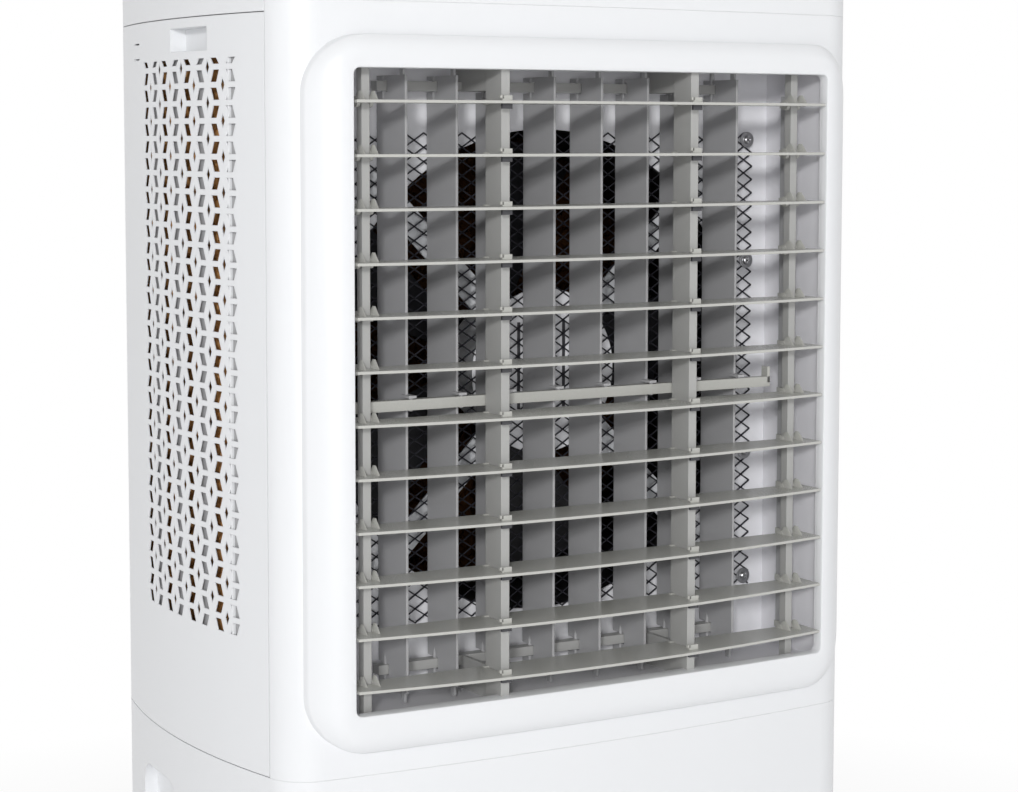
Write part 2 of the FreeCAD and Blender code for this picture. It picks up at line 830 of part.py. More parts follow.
def make_louvre_frame():
    solids = []
    rear = out_y + post_rear
    behind_rim = out_y + lip_depth + duct_wall
    low_rail_top = low_rail_bottom + rail_height
    high_rail_bottom = high_rail_top - rail_height
    rail_front = out_y + vane_axis_depth - rail_depth_size / 2
    rail_rear = rail_front + rail_depth_size
    for side in (-1, 1):
        x = side * inner_post_offset
        half = inner_post_width / 2
        solids.append(box(x - half, x + half, out_y + inner_post_front, rear, outlet_bottom, outlet_top))
        solids.append(box(x - half, x + half, behind_rim, rear, duct_bottom, duct_top))
        half = web_thickness / 2
        solids.append(box(x - half, x + half, rear, rail_rear, duct_bottom, low_rail_top))
        solids.append(box(x - half, x + half, rear, rail_rear, high_rail_bottom, duct_top))
        x = side * end_post_offset
        half = end_post_width / 2
        solids.append(box(x - half, x + half, out_y + end_post_front, rear, duct_bottom, duct_top))
    solids.append(box(-rail_half, rail_half, rail_front, rail_rear, low_rail_bottom, low_rail_top))
    solids.append(box(-rail_half, rail_half, rail_front, rail_rear, high_rail_bottom, high_rail_top))
    # Foot bars tie the four posts together along the floor and ceiling of the duct.
    for z0, z1 in ((duct_bottom, duct_bottom + 3), (duct_top - 3, duct_top)):
        solids.append(box(-end_post_offset, end_post_offset, behind_rim + 10, rear, z0, z1))
    frame = join(solids)
    holes = []
    hole_radius = pin_radius + pin_clearance
    for z in louvre_heights():
        for side in (-1, 1):
            for x in (side * inner_post_offset, side * end_post_offset):
                holes.append(rod(
                    hole_radius, (x - inner_post_width, out_y + louvre_axis_depth, z),
                    (x + inner_post_width, out_y + louvre_axis_depth, z),
                ))
    for x in vane_offsets():
        y = out_y + vane_axis_depth
        for z0, z1 in ((low_rail_bottom, low_rail_top), (high_rail_bottom, high_rail_top)):
            holes.append(rod(hole_radius, (x, y, z0 - 1), (x, y, z1 + 1)))
    save(frame.cut(holes), "louvre_frame")


def louvre_shape(z):
    half = half_outlet - louvre_end_gap
    low = z - louvre_thickness / 2
    outline = Part.Wire([
        arc((-half, out_y, low), (0, out_y - louvre_bow, low), (half, out_y, low)),
        line((half, out_y, low), (half, out_y + louvre_rear_depth, low)),
        line((half, out_y + louvre_rear_depth, low), (-half, out_y + louvre_rear_depth, low)),
        line((-half, out_y + louvre_rear_depth, low), (-half, out_y, low)),
    ])
    blade = Part.Face(outline).extrude(FreeCAD.Vector(0, 0, louvre_thickness))
    cosine = math.cos(math.radians(louvre_swing_degrees))
    notches = []
    pins = []
    posts = (
        (inner_post_offset, inner_post_width, inner_post_front),
        (end_post_offset, end_post_width, end_post_front),
    )
    for offset, width, front in posts:
        reach = (louvre_axis_depth - front) / cosine + notch_clearance
        for side in (-1, 1):
            x = side * offset
            half_notch = width / 2 + notch_clearance
            notches.append(box(
                x - half_notch, x + half_notch,
                out_y + louvre_axis_depth - reach, out_y + louvre_rear_depth + 1,
                z - 5, z + 5,
            ))
            pins.append(rod(
                pin_radius, (x - half_notch - 4, out_y + louvre_axis_depth, z),
                (x + half_notch + 4, out_y + louvre_axis_depth, z),
            ))
    lever = [
        box(lever_offset, lever_offset + lever_width, out_y + louvre_axis_depth,
            out_y + lever_pin_depth + link_pin_radius + 1, z - 3, z + 3),
        rod(link_pin_radius, (lever_offset + 1, out_y + lever_pin_depth, z),
            (louvre_link_x + link_thickness + 1, out_y + lever_pin_depth, z)),
    ]
    return join([blade.cut(notches)] + pins + lever)


def make_louvres():
    first = louvre_shape(first_louvre_height)
    for i in range(louvre_count):
        louvre = first.translated(FreeCAD.Vector(0, 0, -i * louvre_pitch))
        save(louvre, "louvre_%02d" % (i + 1))
    heights = louvre_heights()
    bar = box(
        louvre_link_x, louvre_link_x + link_thickness,
        out_y + link_y_front, out_y + link_y_front + link_depth_size,
        heights[-1] - link_end_margin, heights[0] + link_end_margin,
    )
    slots = []
    half = link_pin_radius + link_slot_clearance
    for z in heights:
        slots.append(box(
            louvre_link_x - 1, louvre_link_x + link_thickness + 1,
            out_y + link_y_front - 1, out_y + lever_pin_depth + half,
            z - half, z + half,
        ))
    save(bar.cut(slots), "louvre_link")


def make_vanes():
    y0 = out_y + vane_front_depth
    y1 = out_y + vane_rear_depth
    axis_y = out_y + vane_axis_depth
    notch_half = rail_depth_size / 2 / math.cos(math.radians(vane_swing_degrees)) + rail_notch_gap
    low_rail_top = low_rail_bottom + rail_height
    high_rail_bottom = high_rail_top - rail_height
    pin_y = out_y + vane_pin_depth
    link_top = vane_link_height + vane_link_size / 2
    link_bottom = vane_link_height - vane_link_size / 2
    for number, x in enumerate(vane_offsets(), 1):
        half = vane_thickness / 2
        plate = box(x - half, x + half, y0, y1, vane_bottom, vane_top)
        notches = [
            box(x - 5, x + 5, axis_y - notch_half, y1 + 1,
                low_rail_bottom - rail_notch_gap, low_rail_top + rail_notch_gap),
            box(x - 5, x + 5, axis_y - notch_half, y1 + 1,
                high_rail_bottom - rail_notch_gap, high_rail_top + rail_notch_gap),
        ]
        pieces = [
            plate.cut(notches),
            rod(pin_radius, (x, axis_y, vane_bottom), (x, axis_y, low_rail_top + peg_length)),
            cone(pin_radius, (x, axis_y, low_rail_top + peg_length),
                 (x, axis_y, low_rail_top + peg_length + peg_tip)),
            rod(pin_radius, (x, axis_y, high_rail_bottom - peg_length), (x, axis_y, vane_top)),
            cone(pin_radius, (x, axis_y, high_rail_bottom - peg_length),
                 (x, axis_y, high_rail_bottom - peg_length - peg_tip)),
            box(x - half, x + half, y0 + 4, y0 + 4 + ear_size, vane_top - 1, vane_top + ear_height),
            box(x - half, x + half, y0 + 4, y0 + 4 + ear_size, vane_bottom - ear_height, vane_bottom + 1),
            box(x - tab_width / 2, x + tab_width / 2, pin_y - tab_width / 2, y0 + 4,
                link_top + 1, link_top + 1 + tab_thickness),
            rod(link_pin_radius, (x, pin_y, link_bottom - 1), (x, pin_y, link_top + 2)),
        ]
        if number == vane_count:
            shaft_top = duct_top + duct_wall + 11
            pieces.append(rod(pin_radius, (x, axis_y, vane_top - 1), (x, axis_y, shaft_top)))
        save(join(pieces), "vane_%d" % number)
    front = out_y + vane_link_front
    bar = box(-vane_link_left, vane_link_right, front, front + vane_link_size, link_bottom, link_top)
    slots = []
    half = link_pin_radius + link_slot_clearance
    for x in vane_offsets():
        slots.append(box(
            x - half, x + half, pin_y - link_pin_radius - link_slot_clearance / 2,
            front + vane_link_size + 1, link_bottom - 1, link_top + 1,
        ))
    save(bar.cut(slots), "vane_link")


def make_guard():
    x0 = -guard_width / 2
    x1 = guard_width / 2
    border = guard_strand
    outline = polygon([
        (x0, mesh_y, guard_bottom), (x1, mesh_y, guard_bottom),
        (x1, mesh_y, guard_top), (x0, mesh_y, guard_top),
    ])
    slope = math.hypot(diamond_width, diamond_height)
    half_w = diamond_width / 2 - guard_strand * slope / diamond_height / 2
    half_h = diamond_height / 2 - guard_strand * slope / diamond_width / 2
    columns = int((guard_width - 2 * border) / diamond_width)
    rows = int((guard_top - guard_bottom - 2 * border) / diamond_height)
    middle = (guard_bottom + guard_top) / 2
    holes = []
    for column in range(2 * columns - 1):
        x = (column - columns + 1) * diamond_width / 2
        count = rows if column % 2 == 0 else rows - 1
        for row in range(count):
            z = middle + (row - (count - 1) / 2) * diamond_height
            holes.append(polygon([
                (x - half_w, mesh_y, z), (x, mesh_y, z - half_h),
                (x + half_w, mesh_y, z), (x, mesh_y, z + half_h),
            ]))
    mesh = pierced(outline, holes).extrude(FreeCAD.Vector(0, guard_thickness, 0))
    screw_holes = []
    for side in (-1, 1):
        for z in guard_screw_heights:
            x = side * guard_screw_offset
            screw_holes.append(rod(screw_radius + fit_gap, (x, mesh_y - 1, z), (x, mesh_y + guard_thickness + 1, z)))
    save(mesh.cut(screw_holes), "fan_guard")


def make_guard_screws():
    panel_front = out_y + panel_depth
    solids = []
    for side in (-1, 1):
        for z in guard_screw_heights:
            x = side * guard_screw_offset
            front = mesh_y - washer_thickness
            solids.append(join([
                rod(washer_radius, (x, front, z), (x, mesh_y, z)),
                rod(screw_head_radius, (x, front - screw_head_height, z), (x, front, z)),
                rod(screw_radius, (x, mesh_y - 1, z), (x, panel_front + panel_thickness + 6, z)),
                rod(washer_radius, (x, mesh_y + guard_thickness, z), (x, panel_front, z)),
            ]))
    save(Part.makeCompound(solids), "guard_screws")


def make_fan_panel():
    front = out_y + panel_depth
    rear = front + panel_thickness
    sheet = box(-panel_half_width, panel_half_width, front, rear, tank_top, cover_bottom)
    foot = box(
        -corner_half_width, corner_half_width, front, rear, tank_top, tank_top + 40,
    )
    shroud = rod(orifice_radius + shroud_wall, (0, front, fan_height), (0, front + shroud_length, fan_height))
    hole = rod(orifice_radius, (0, front - 1, fan_height), (0, front + shroud_length + 1, fan_height))
    holes = [hole]
    for side in (-1, 1):
        for z in guard_screw_heights:
            x = side * guard_screw_offset
            holes.append(rod(screw_radius, (x, front - 1, z), (x, rear + 1, z)))
    save(join([sheet, foot, shroud]).cut(holes), "fan_panel")


def make_motor_and_fan():
    front = out_y + panel_depth - strap_thickness
    inner = motor_radius + motor_fit
    pieces = [rod(bracket_ring_radius, (0, front, fan_height), (0, front + strap_thickness, fan_height))]
    for angle in (45, 135, 225, 315):
        strap = box(
            bracket_ring_radius - 10, strap_reach, front, front + strap_thickness,
            -strap_width / 2, strap_width / 2,
        )
        strap.rotate(FreeCAD.Vector(0, 0, 0), FreeCAD.Vector(0, 1, 0), angle)
        strap.translate(FreeCAD.Vector(0, 0, fan_height))
        pieces.append(strap)
    bracket = join(pieces).cut(rod(inner, (0, front - 1, fan_height), (0, front + 5, fan_height)))
    save(bracket, "motor_bracket")

    back = front + strap_thickness
    motor_rear = front + motor_length
    motor = rod(motor_radius, (0, front, fan_height), (0, motor_rear, fan_height))
    motor = motor.makeFillet(8, [e for e in motor.Edges if len(e.Vertexes) == 1])
    flange = rod(motor_flange_radius, (0, back, fan_height), (0, back + motor_flange_thickness, fan_height))
    bore = rod(
        shaft_radius + shaft_clearance, (0, motor_rear - shaft_engagement - 1, fan_height),
        (0, motor_rear + 1, fan_height),
    )
    save(join([motor, flange]).cut(bore), "fan_motor")

    y = out_y + fan_depth
    middle = y + hub_length / 2
    hub = rod(hub_radius, (0, y, fan_height), (0, y + hub_length, fan_height))
    hub = hub.makeFillet(6, [e for e in hub.Edges if len(e.Vertexes) == 1])
    shaft = rod(shaft_radius, (0, motor_rear - shaft_engagement, fan_height), (0, y + 5, fan_height))
    limit = rod(fan_radius, (0, middle - 80, 0), (0, middle + 80, 0))
    half = blade_sector_degrees / 2
    root = hub_radius - 12
    blades = []
    for i in range(blade_count):
        spread = math.tan(math.radians(half)) * fan_radius
        neck = math.tan(math.radians(half)) * hub_radius * 1.4
        blade = prism([
            (root, middle - blade_thickness / 2, -neck / 2),
            (root, middle - blade_thickness / 2, neck / 2),
            (fan_radius + 5, middle - blade_thickness / 2, spread * 0.9),
            (fan_radius + 5, middle - blade_thickness / 2, -spread * 0.7),
        ], (0, blade_thickness, 0))
        centre = FreeCAD.Vector(0, middle, 0)
        blade.rotate(centre, FreeCAD.Vector(1, 0, 0), blade_tilt_degrees)
        blade = blade.common(limit)
        blade.rotate(centre, FreeCAD.Vector(0, 1, 0), i * 360 / blade_count)
        blade.translate(FreeCAD.Vector(0, 0, fan_height))
        blades.append(blade)
    save(join([hub, shaft] + blades), "fan_impeller")


def make_distributor_and_pump():
    top = cover_bottom
    floor = top - tray_height
    front = out_y + panel_depth + panel_thickness + fit_gap
    y1 = out_y + tray_rear_front
    y2 = out_y + tray_rear_back
    # The rear corners follow the rounded corners of the rear shell.
    corner_radius = rear_corner_radius - (rear_depth - tray_rear_back)

    def channel(inset, z0):
        half = tray_half_width - inset
        rear = y2 - inset
        tray = join([
            box(-half, half, y1 + inset, rear, z0, top),
            box(-half, -tray_side_inner + inset, front + inset, rear, z0, top),
            box(tray_side_inner - inset, half, front + inset, rear, z0, top),
        ])
        upright = [e for e in tray.Edges if abs(e.tangentAt(e.FirstParameter).z) > 0.9]
        corners = [e for e in upright if e.CenterOfMass.y > rear - 1]
        return tray.makeFillet(corner_radius - inset, corners)

    tray = channel(0, floor).cut(channel(tray_wall, floor + tray_wall))
    holes = []
    for i in range(drip_count):
        x = -rear_pad_half_width + rear_pad_half_width * 2 * (i + 0.5) / drip_count
        y = (y1 + y2) / 2
        holes.append(rod(drip_radius, (x, y, floor - 1), (x, y, floor + tray_wall + 1)))
    hose_x = pump_x
    hose_y = out_y + pump_depth
    holes.append(rod(
        hose_radius + fit_gap, (hose_x, hose_y, floor - 1), (hose_x, hose_y, floor + tray_wall + 1),
    ))
    save(tray.cut(holes), "water_distributor")

    base = tank_bottom + wall
    x, y = pump_x, out_y + pump_depth
    half_pump = pump_width / 2
    body = box(x - half_pump, x + half_pump, y - half_pump, y + half_pump, base, base + pump_height)
    body = body.makeFillet(6, [e for e in body.Edges if abs(e.tangentAt(e.FirstParameter).z) > 0.9])
    body = body.fuse(rod(hose_radius - hose_wall, (x, y, base + pump_height),
                         (x, y, base + pump_height + 20)))
    hose = rod(hose_radius, (x, y, base + pump_height), (x, y, top - tray_height / 2))
    hose = hose.cut(rod(hose_radius - hose_wall, (x, y, base), (x, y, top)))
    save(Part.makeCompound([body.removeSplitter(), hose]), "pump")


def make_top():
    cover = body_block(0, cover_bottom, cover_top)
    crown = [e for e in cover.Edges if e.BoundBox.ZMin > cover_top - 0.1]
    cover = cover.makeFillet(cover_edge_radius, crown)
    hollow = body_block(wall, cover_bottom + deck_thickness, cover_top - wall)
    crown = [e for e in hollow.Edges if e.BoundBox.ZMin > cover_top - wall - 0.1]
    cover = cover.cut(hollow.makeFillet(cover_edge_radius - wall, crown))
    # Skirts over the side panels.
    skirt = body_block(0, side_panel_top, cover_bottom + 1)
    skirt = skirt.cut(body_block(wall, side_panel_top - 1, cover_bottom + 2))
    width = corner_half_width + side_bulge + 1
    skirt = skirt.common(box(
        -width, width, out_y + front_seam_depth + seam_gap, out_y + rear_seam_depth - seam_gap,
        side_panel_top, cover_bottom + 1,
    ))

    y0 = out_y + control_front_depth
    y1 = out_y + control_rear_depth
    sheet_bottom = cover_top - control_thickness
    seat_bottom = sheet_bottom - wall
    seat = box(
        -control_half_width - ledge_width, control_half_width + ledge_width,
        y0 - ledge_width, y1 + ledge_width, seat_bottom, cover_top - 1,
    )
    pocket = box(-control_half_width, control_half_width, y0, y1, sheet_bottom, cover_top + 1)
    through = box(
        -control_half_width + ledge_width, control_half_width - ledge_width,
        y0 + ledge_width, y1 - ledge_width, seat_bottom - 1, cover_top + 1,
    )

    d0 = out_y + door_front_depth
    d1 = out_y + door_rear_depth
    door_bottom = cover_top - door_thickness
    frame_bottom = door_bottom - wall
    knuckle_y = d1 - door_knuckle_radius - door_side_gap
    knuckle_z = cover_top - door_knuckle_radius
    door_seat = box(
        -door_half_width - 8, door_half_width + 8, d0 - 8, d1 + 8, cover_bottom, cover_top - 1,
    )
    door_pocket = box(-door_half_width, door_half_width, d0, d1, door_bottom, cover_top + 1)
    chute = box(
        -door_half_width + ledge_width, door_half_width - ledge_width,
        d0 + ledge_width, d1 - 12, cover_bottom - 1, cover_top + 1,
    )
    knuckle_room = box(
        -door_half_width, door_half_width, knuckle_y - 8, d1, frame_bottom - 2, cover_top + 1,
    )
    reach = door_half_width + door_pin_length
    pin_hole = rod(door_pin_radius + pin_clearance, (-reach, knuckle_y, knuckle_z), (reach, knuckle_y, knuckle_z))
    cover = cover.fuse([seat, door_seat, skirt])
    cover = cover.cut([pocket, through, door_pocket, chute, knuckle_room, pin_hole])
    save(cover.removeSplitter(), "top_cover")

    plate = box(
        -control_half_width + fit_gap, control_half_width - fit_gap,
        y0 + fit_gap, y1 - fit_gap, sheet_bottom, cover_top,
    )
    mid_y = (y0 + y1) / 2
    window = box(
        display_x - display_width / 2, display_x + display_width / 2,
        mid_y - display_height / 2, mid_y + display_height / 2, cover_top - 1, cover_top + 1,
    )
    flange_top = sheet_bottom - fit_gap
    flange_bottom = flange_top - button_flange
    holes = [window]
    for i in range(button_count):
        x = i * button_pitch
        holes.append(rod(button_radius + fit_gap, (x, mid_y, sheet_bottom - 1), (x, mid_y, cover_top + 1)))
        button = join([
            rod(button_radius, (x, mid_y, flange_bottom), (x, mid_y, cover_top + button_rise)),
            rod(button_radius + button_flange_lip, (x, mid_y, flange_bottom), (x, mid_y, flange_top)),
        ])
        save(button, "button_%d" % (i + 1))
    # A board under the buttons stops them at the end of their travel.
    board_top = flange_bottom - button_travel - fit_gap
    post_left = -button_radius - button_flange_lip - fit_gap
    post_right = (button_count - 1) * button_pitch - post_left
    board = [
        box(post_left - board_post, post_right + board_post, mid_y - board_half_depth,
            mid_y + board_half_depth, board_top - board_thickness, board_top),
        box(post_left - board_post, post_left, mid_y - board_post, mid_y + board_post,
            board_top - 1, sheet_bottom + 1),
        box(post_right, post_right + board_post, mid_y - board_post, mid_y + board_post,
            board_top - 1, sheet_bottom + 1),
    ]
    save(plate.cut(holes).fuse(board).removeSplitter(), "control_panel")

    door = [
        box(-door_half_width + door_side_gap, door_half_width - door_side_gap,
            d0 + door_side_gap, knuckle_y, door_bottom, cover_top),
        rod(door_knuckle_radius, (-door_half_width + door_side_gap, knuckle_y, knuckle_z),
            (door_half_width - door_side_gap, knuckle_y, knuckle_z)),
        rod(door_pin_radius, (-reach + 0.5, knuckle_y, knuckle_z), (reach - 0.5, knuckle_y, knuckle_z)),
    ]
    save(join(door), "fill_door")


make_tank()
make_casters()
make_drain_and_inlet()
outer_body, wall_ring = shell_ring()
make_front_shell(wall_ring)
make_bezel()
make_side_panels(outer_body, wall_ring)
make_rear_shell(outer_body, wall_ring)
make_duct()
make_louvre_frame()
make_louvres()
make_vanes()
make_guard()
make_guard_screws()
make_fan_panel()
make_motor_and_fan()
make_distributor_and_pump()
make_top()
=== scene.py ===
import bpy
import json
import math
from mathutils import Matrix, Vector


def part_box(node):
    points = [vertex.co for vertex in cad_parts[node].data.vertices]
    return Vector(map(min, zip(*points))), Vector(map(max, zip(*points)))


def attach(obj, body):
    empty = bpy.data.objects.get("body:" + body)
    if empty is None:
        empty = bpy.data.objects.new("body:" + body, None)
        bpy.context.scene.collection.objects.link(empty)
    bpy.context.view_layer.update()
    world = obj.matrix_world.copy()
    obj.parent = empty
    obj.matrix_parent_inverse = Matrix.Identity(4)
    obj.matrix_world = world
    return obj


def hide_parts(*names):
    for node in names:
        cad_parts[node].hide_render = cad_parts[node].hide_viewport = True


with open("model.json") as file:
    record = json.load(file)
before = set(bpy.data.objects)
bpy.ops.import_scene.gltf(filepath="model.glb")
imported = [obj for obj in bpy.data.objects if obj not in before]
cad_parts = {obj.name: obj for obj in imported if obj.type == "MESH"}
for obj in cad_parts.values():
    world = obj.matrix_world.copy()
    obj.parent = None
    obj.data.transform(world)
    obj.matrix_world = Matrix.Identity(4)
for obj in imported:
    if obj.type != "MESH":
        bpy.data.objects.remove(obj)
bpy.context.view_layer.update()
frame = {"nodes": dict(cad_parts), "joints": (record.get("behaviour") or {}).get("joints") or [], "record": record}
nodes = frame["nodes"]
scene = bpy.context.scene
scene.view_settings.view_transform = "Standard"
print("frame loaded:", len(nodes), "nodes")


# small helpers for shader and geometry trees

def place(tree, kind, inputs=None, **settings):
    node = tree.nodes.new(kind)
    for key, value in settings.items():
        setattr(node, key, value)
    for key, value in (inputs or {}).items():
        if hasattr(value, "links"):
            tree.links.new(value, node.inputs[key])
        else:
            node.inputs[key].default_value = value
    return node


def calc(tree, operation, a, b=0.0, c=0.0):
    node = place(tree, "ShaderNodeMath", {0: a, 1: b, 2: c}, operation=operation)
    return node.outputs[0]


def sizeVector(tree, x, y, z):
    return place(tree, "ShaderNodeCombineXYZ", {"X": x, "Y": y, "Z": z}).outputs[0]


def openGroup(name, kind, inputs, outputs):
    tree = bpy.data.node_groups.new(name, kind)
    for label, socketType, value in inputs:
        socket = tree.interface.new_socket(label, in_out="INPUT", socket_type=socketType)
        if value is not None:
            socket.default_value = value
    for label, socketType in outputs:
        tree.interface.new_socket(label, in_out="OUTPUT", socket_type=socketType)
    return tree, tree.nodes.new("NodeGroupInput"), tree.nodes.new("NodeGroupOutput")


# shared surface effects

def mouldedFinish():
    # tone drift, fine grain, softened edges and a painted highlight along the edges of moulded or painted parts
    tree, given, result = openGroup("mouldedFinish", "ShaderNodeTree", [
        ("Colour", "NodeSocketColor", (0.8, 0.8, 0.8, 1.0)),
        ("Tone Spread", "NodeSocketFloat", 0.03),
        ("Grain Scale", "NodeSocketFloat", 900.0),
        ("Grain Depth", "NodeSocketFloat", 0.00004),
        ("Roughness", "NodeSocketFloat", 0.4),
        ("Roughness Spread", "NodeSocketFloat", 0.08),
        ("Edge Radius", "NodeSocketFloat", 0.0008),
        ("Edge Highlight", "NodeSocketFloat", 0.1),
    ], [
        ("Colour", "NodeSocketColor"),
        ("Roughness", "NodeSocketFloat"),
        ("Normal", "NodeSocketVector"),
    ])
    where = place(tree, "ShaderNodeTexCoord").outputs["Object"]
    drift = place(tree, "ShaderNodeTexNoise", {"Vector": where, "Scale": 3.5, "Detail": 2.0})
    grain = place(tree, "ShaderNodeTexNoise", {
        "Vector": where, "Scale": given.outputs["Grain Scale"], "Detail": 3.0,
    })
    rounded = place(tree, "ShaderNodeBevel", {"Radius": given.outputs["Edge Radius"]}, samples=4)
    sharp = place(tree, "ShaderNodeNewGeometry").outputs["Normal"]
    along = place(tree, "ShaderNodeVectorMath", {0: rounded.outputs[0], 1: sharp}, operation="DOT_PRODUCT")
    # painted highlight: colour is lifted along edges, where the rounded normal turns away from the true one
    edge = calc(tree, "SUBTRACT", 1.0, along.outputs["Value"])
    edge = calc(tree, "MULTIPLY", edge, 4.0)
    edge = calc(tree, "MINIMUM", edge, 1.0)
    tone = calc(tree, "SUBTRACT", drift.outputs["Fac"], 0.5)
    tone = calc(tree, "MULTIPLY", tone, given.outputs["Tone Spread"])
    lift = calc(tree, "MULTIPLY", edge, given.outputs["Edge Highlight"])
    level = calc(tree, "ADD", tone, lift)
    level = calc(tree, "ADD", level, 1.0)
    tinted = place(tree, "ShaderNodeHueSaturation", {"Color": given.outputs["Colour"], "Value": level})
    rough = calc(tree, "SUBTRACT", grain.outputs["Fac"], 0.5)
    rough = calc(tree, "MULTIPLY_ADD", rough, given.outputs["Roughness Spread"], given.outputs["Roughness"])
    bump = place(tree, "ShaderNodeBump", {
        "Strength": 0.5, "Distance": given.outputs["Grain Depth"],
        "Height": grain.outputs["Fac"], "Normal": rounded.outputs[0],
    })
    tree.links.new(tinted.outputs[0], result.inputs["Colour"])
    tree.links.new(rough, result.inputs["Roughness"])
    tree.links.new(bump.outputs[0], result.inputs["Normal"])
    return tree


def zincSpangle():
    # crystal flowers of galvanised sheet
    tree, given, result = openGroup("zincSpangle", "ShaderNodeTree", [
        ("Colour", "NodeSocketColor", (0.6, 0.6, 0.6, 1.0)),
        ("Crystal Scale", "NodeSocketFloat", 90.0),
        ("Contrast", "NodeSocketFloat", 0.35),
    ], [("Colour", "NodeSocketColor"), ("Roughness", "NodeSocketFloat")])
    where = place(tree, "ShaderNodeTexCoord").outputs["Object"]
    warp = place(tree, "ShaderNodeTexNoise", {"Vector": where, "Scale": 60.0, "Detail": 1.0})
    bent = place(tree, "ShaderNodeVectorMath", {0: warp.outputs["Color"], 1: (0.01, 0.01, 0.01)},
                 operation="MULTIPLY_ADD")
    tree.links.new(where, bent.inputs[2])
    crystals = place(tree, "ShaderNodeTexVoronoi", {
        "Vector": bent.outputs[0], "Scale": given.outputs["Crystal Scale"],
    })
    shade = place(tree, "ShaderNodeSeparateColor", {"Color": crystals.outputs["Color"]}).outputs[0]
    level = calc(tree, "SUBTRACT", shade, 0.5)
    level = calc(tree, "MULTIPLY_ADD", level, given.outputs["Contrast"], 1.0)
    tinted = place(tree, "ShaderNodeHueSaturation", {"Color": given.outputs["Colour"], "Value": level})
    rough = calc(tree, "MULTIPLY_ADD", shade, 0.2, 0.35)
    tree.links.new(tinted.outputs[0], result.inputs["Colour"])
    tree.links.new(rough, result.inputs["Roughness"])
    return tree


plastic = {"Tone Spread": 0.02, "Grain Scale": 700.0, "Grain Depth": 0.00003, "Roughness": 0.34,
           "Roughness Spread": 0.06, "Edge Radius": 0.0012, "Edge Highlight": 0.03}
satinGrey = {"Tone Spread": 0.05, "Grain Scale": 1300.0, "Grain Depth": 0.00004, "Roughness": 0.45,
             "Roughness Spread": 0.1, "Edge Radius": 0.0007, "Edge Highlight": 0.12}
sootBlack = {"Tone Spread": 0.2, "Grain Scale": 1600.0, "Grain Depth": 0.00004, "Roughness": 0.5,
             "Roughness Spread": 0.12, "Edge Radius": 0.0004, "Edge Highlight": 0.6}
tyre = {"Tone Spread": 0.25, "Grain Scale": 1200.0, "Grain Depth": 0.00012, "Roughness": 0.78,
        "Roughness Spread": 0.12, "Edge Radius": 0.001, "Edge Highlight": 0.5}

finishGroup = mouldedFinish()
spangleGroup = zincSpangle()


def newMaterial(name):
    material = bpy.data.materials.new(name)
    material.use_nodes = True
    tree = material.node_tree
    shader = tree.nodes["Principled BSDF"]
    return material, tree, shader


def mouldedMaterial(name, colour, finish, specular=0.5, coat=0.0, metallic=0.0):
    material, tree, shader = newMaterial(name)
    group = place(tree, "ShaderNodeGroup", node_tree=finishGroup)
    group.inputs["Colour"].default_value = (*colour, 1.0)
    for key, value in finish.items():
        group.inputs[key].default_value = value
    tree.links.new(group.outputs["Colour"], shader.inputs["Base Color"])
    tree.links.new(group.outputs["Roughness"], shader.inputs["Roughness"])
    tree.links.new(group.outputs["Normal"], shader.inputs["Normal"])
    shader.inputs["Specular IOR Level"].default_value = specular
    shader.inputs["Coat Weight"].default_value = coat
    shader.inputs["Metallic"].default_value = metallic
    return material


zincMetallic = 0.85


def zincMaterial(name, colour):
    material, tree, shader = newMaterial(name)
    group = place(tree, "ShaderNodeGroup", node_tree=spangleGroup)
    group.inputs["Colour"].default_value = (*colour, 1.0)
    tree.links.new(group.outputs["Colour"], shader.inputs["Base Color"])
    tree.links.new(group.outputs["Roughness"], shader.inputs["Roughness"])
    shader.inputs["Metallic"].default_value = zincMetallic
    return material


def objectPlace(tree):
    return place(tree, "ShaderNodeTexCoord").outputs["Object"]


def finishNode(tree):
    return next(node for node in tree.nodes if node.type == "GROUP")


def twoTones(tree, mask, first, second=None):
    # first where the mask is 0, second where it is 1
    mixed = place(tree, "ShaderNodeMix", {"Factor": mask}, data_type="RGBA")
    mixed.inputs["A"].default_value = (*first, 1.0)
    if second is not None:
        mixed.inputs["B"].default_value = (*second, 1.0)
    return mixed


def shroudMaterial(name, front, inside, edge):
    # painted sheet in front, dark ring of the fan tunnel behind the plane at the given depth
    material = mouldedMaterial(name, front, satinPlastic)
    tree = material.node_tree
    depth = place(tree, "ShaderNodeSeparateXYZ", {0: objectPlace(tree)}).outputs[1]
    mixed = twoTones(tree, calc(tree, "GREATER_THAN", depth, edge), front, inside)
    tree.links.new(mixed.outputs["Result"], finishNode(tree).inputs["Colour"])
    return material


def panelMaterial(name, skin, slatShade, shape):
    # smooth outer skin, and painted shade: slats deeper than the given distance under the bowed skin are coloured
    # grey
    material = mouldedMaterial(name, skin, plastic)
    tree = material.node_tree
    at = place(tree, "ShaderNodeSeparateXYZ", {0: objectPlace(tree)}).outputs
    along = calc(tree, "SUBTRACT", at[1], shape["middle"])
    along = calc(tree, "DIVIDE", along, shape["half"])
    fall = calc(tree, "MULTIPLY", along, along)
    skinAt = calc(tree, "MULTIPLY_ADD", fall, -shape["bulge"], shape["widest"] - shape["under"])
    # painted shade mask: deeper than the skin, below the grille top
    mask = calc(tree, "LESS_THAN", calc(tree, "ABSOLUTE", at[0]), skinAt)
    mask = calc(tree, "MULTIPLY", mask, calc(tree, "LESS_THAN", at[2], shape["top"]))
    mixed = twoTones(tree, mask, skin, slatShade)
    tree.links.new(mixed.outputs["Result"], finishNode(tree).inputs["Colour"])
    return material


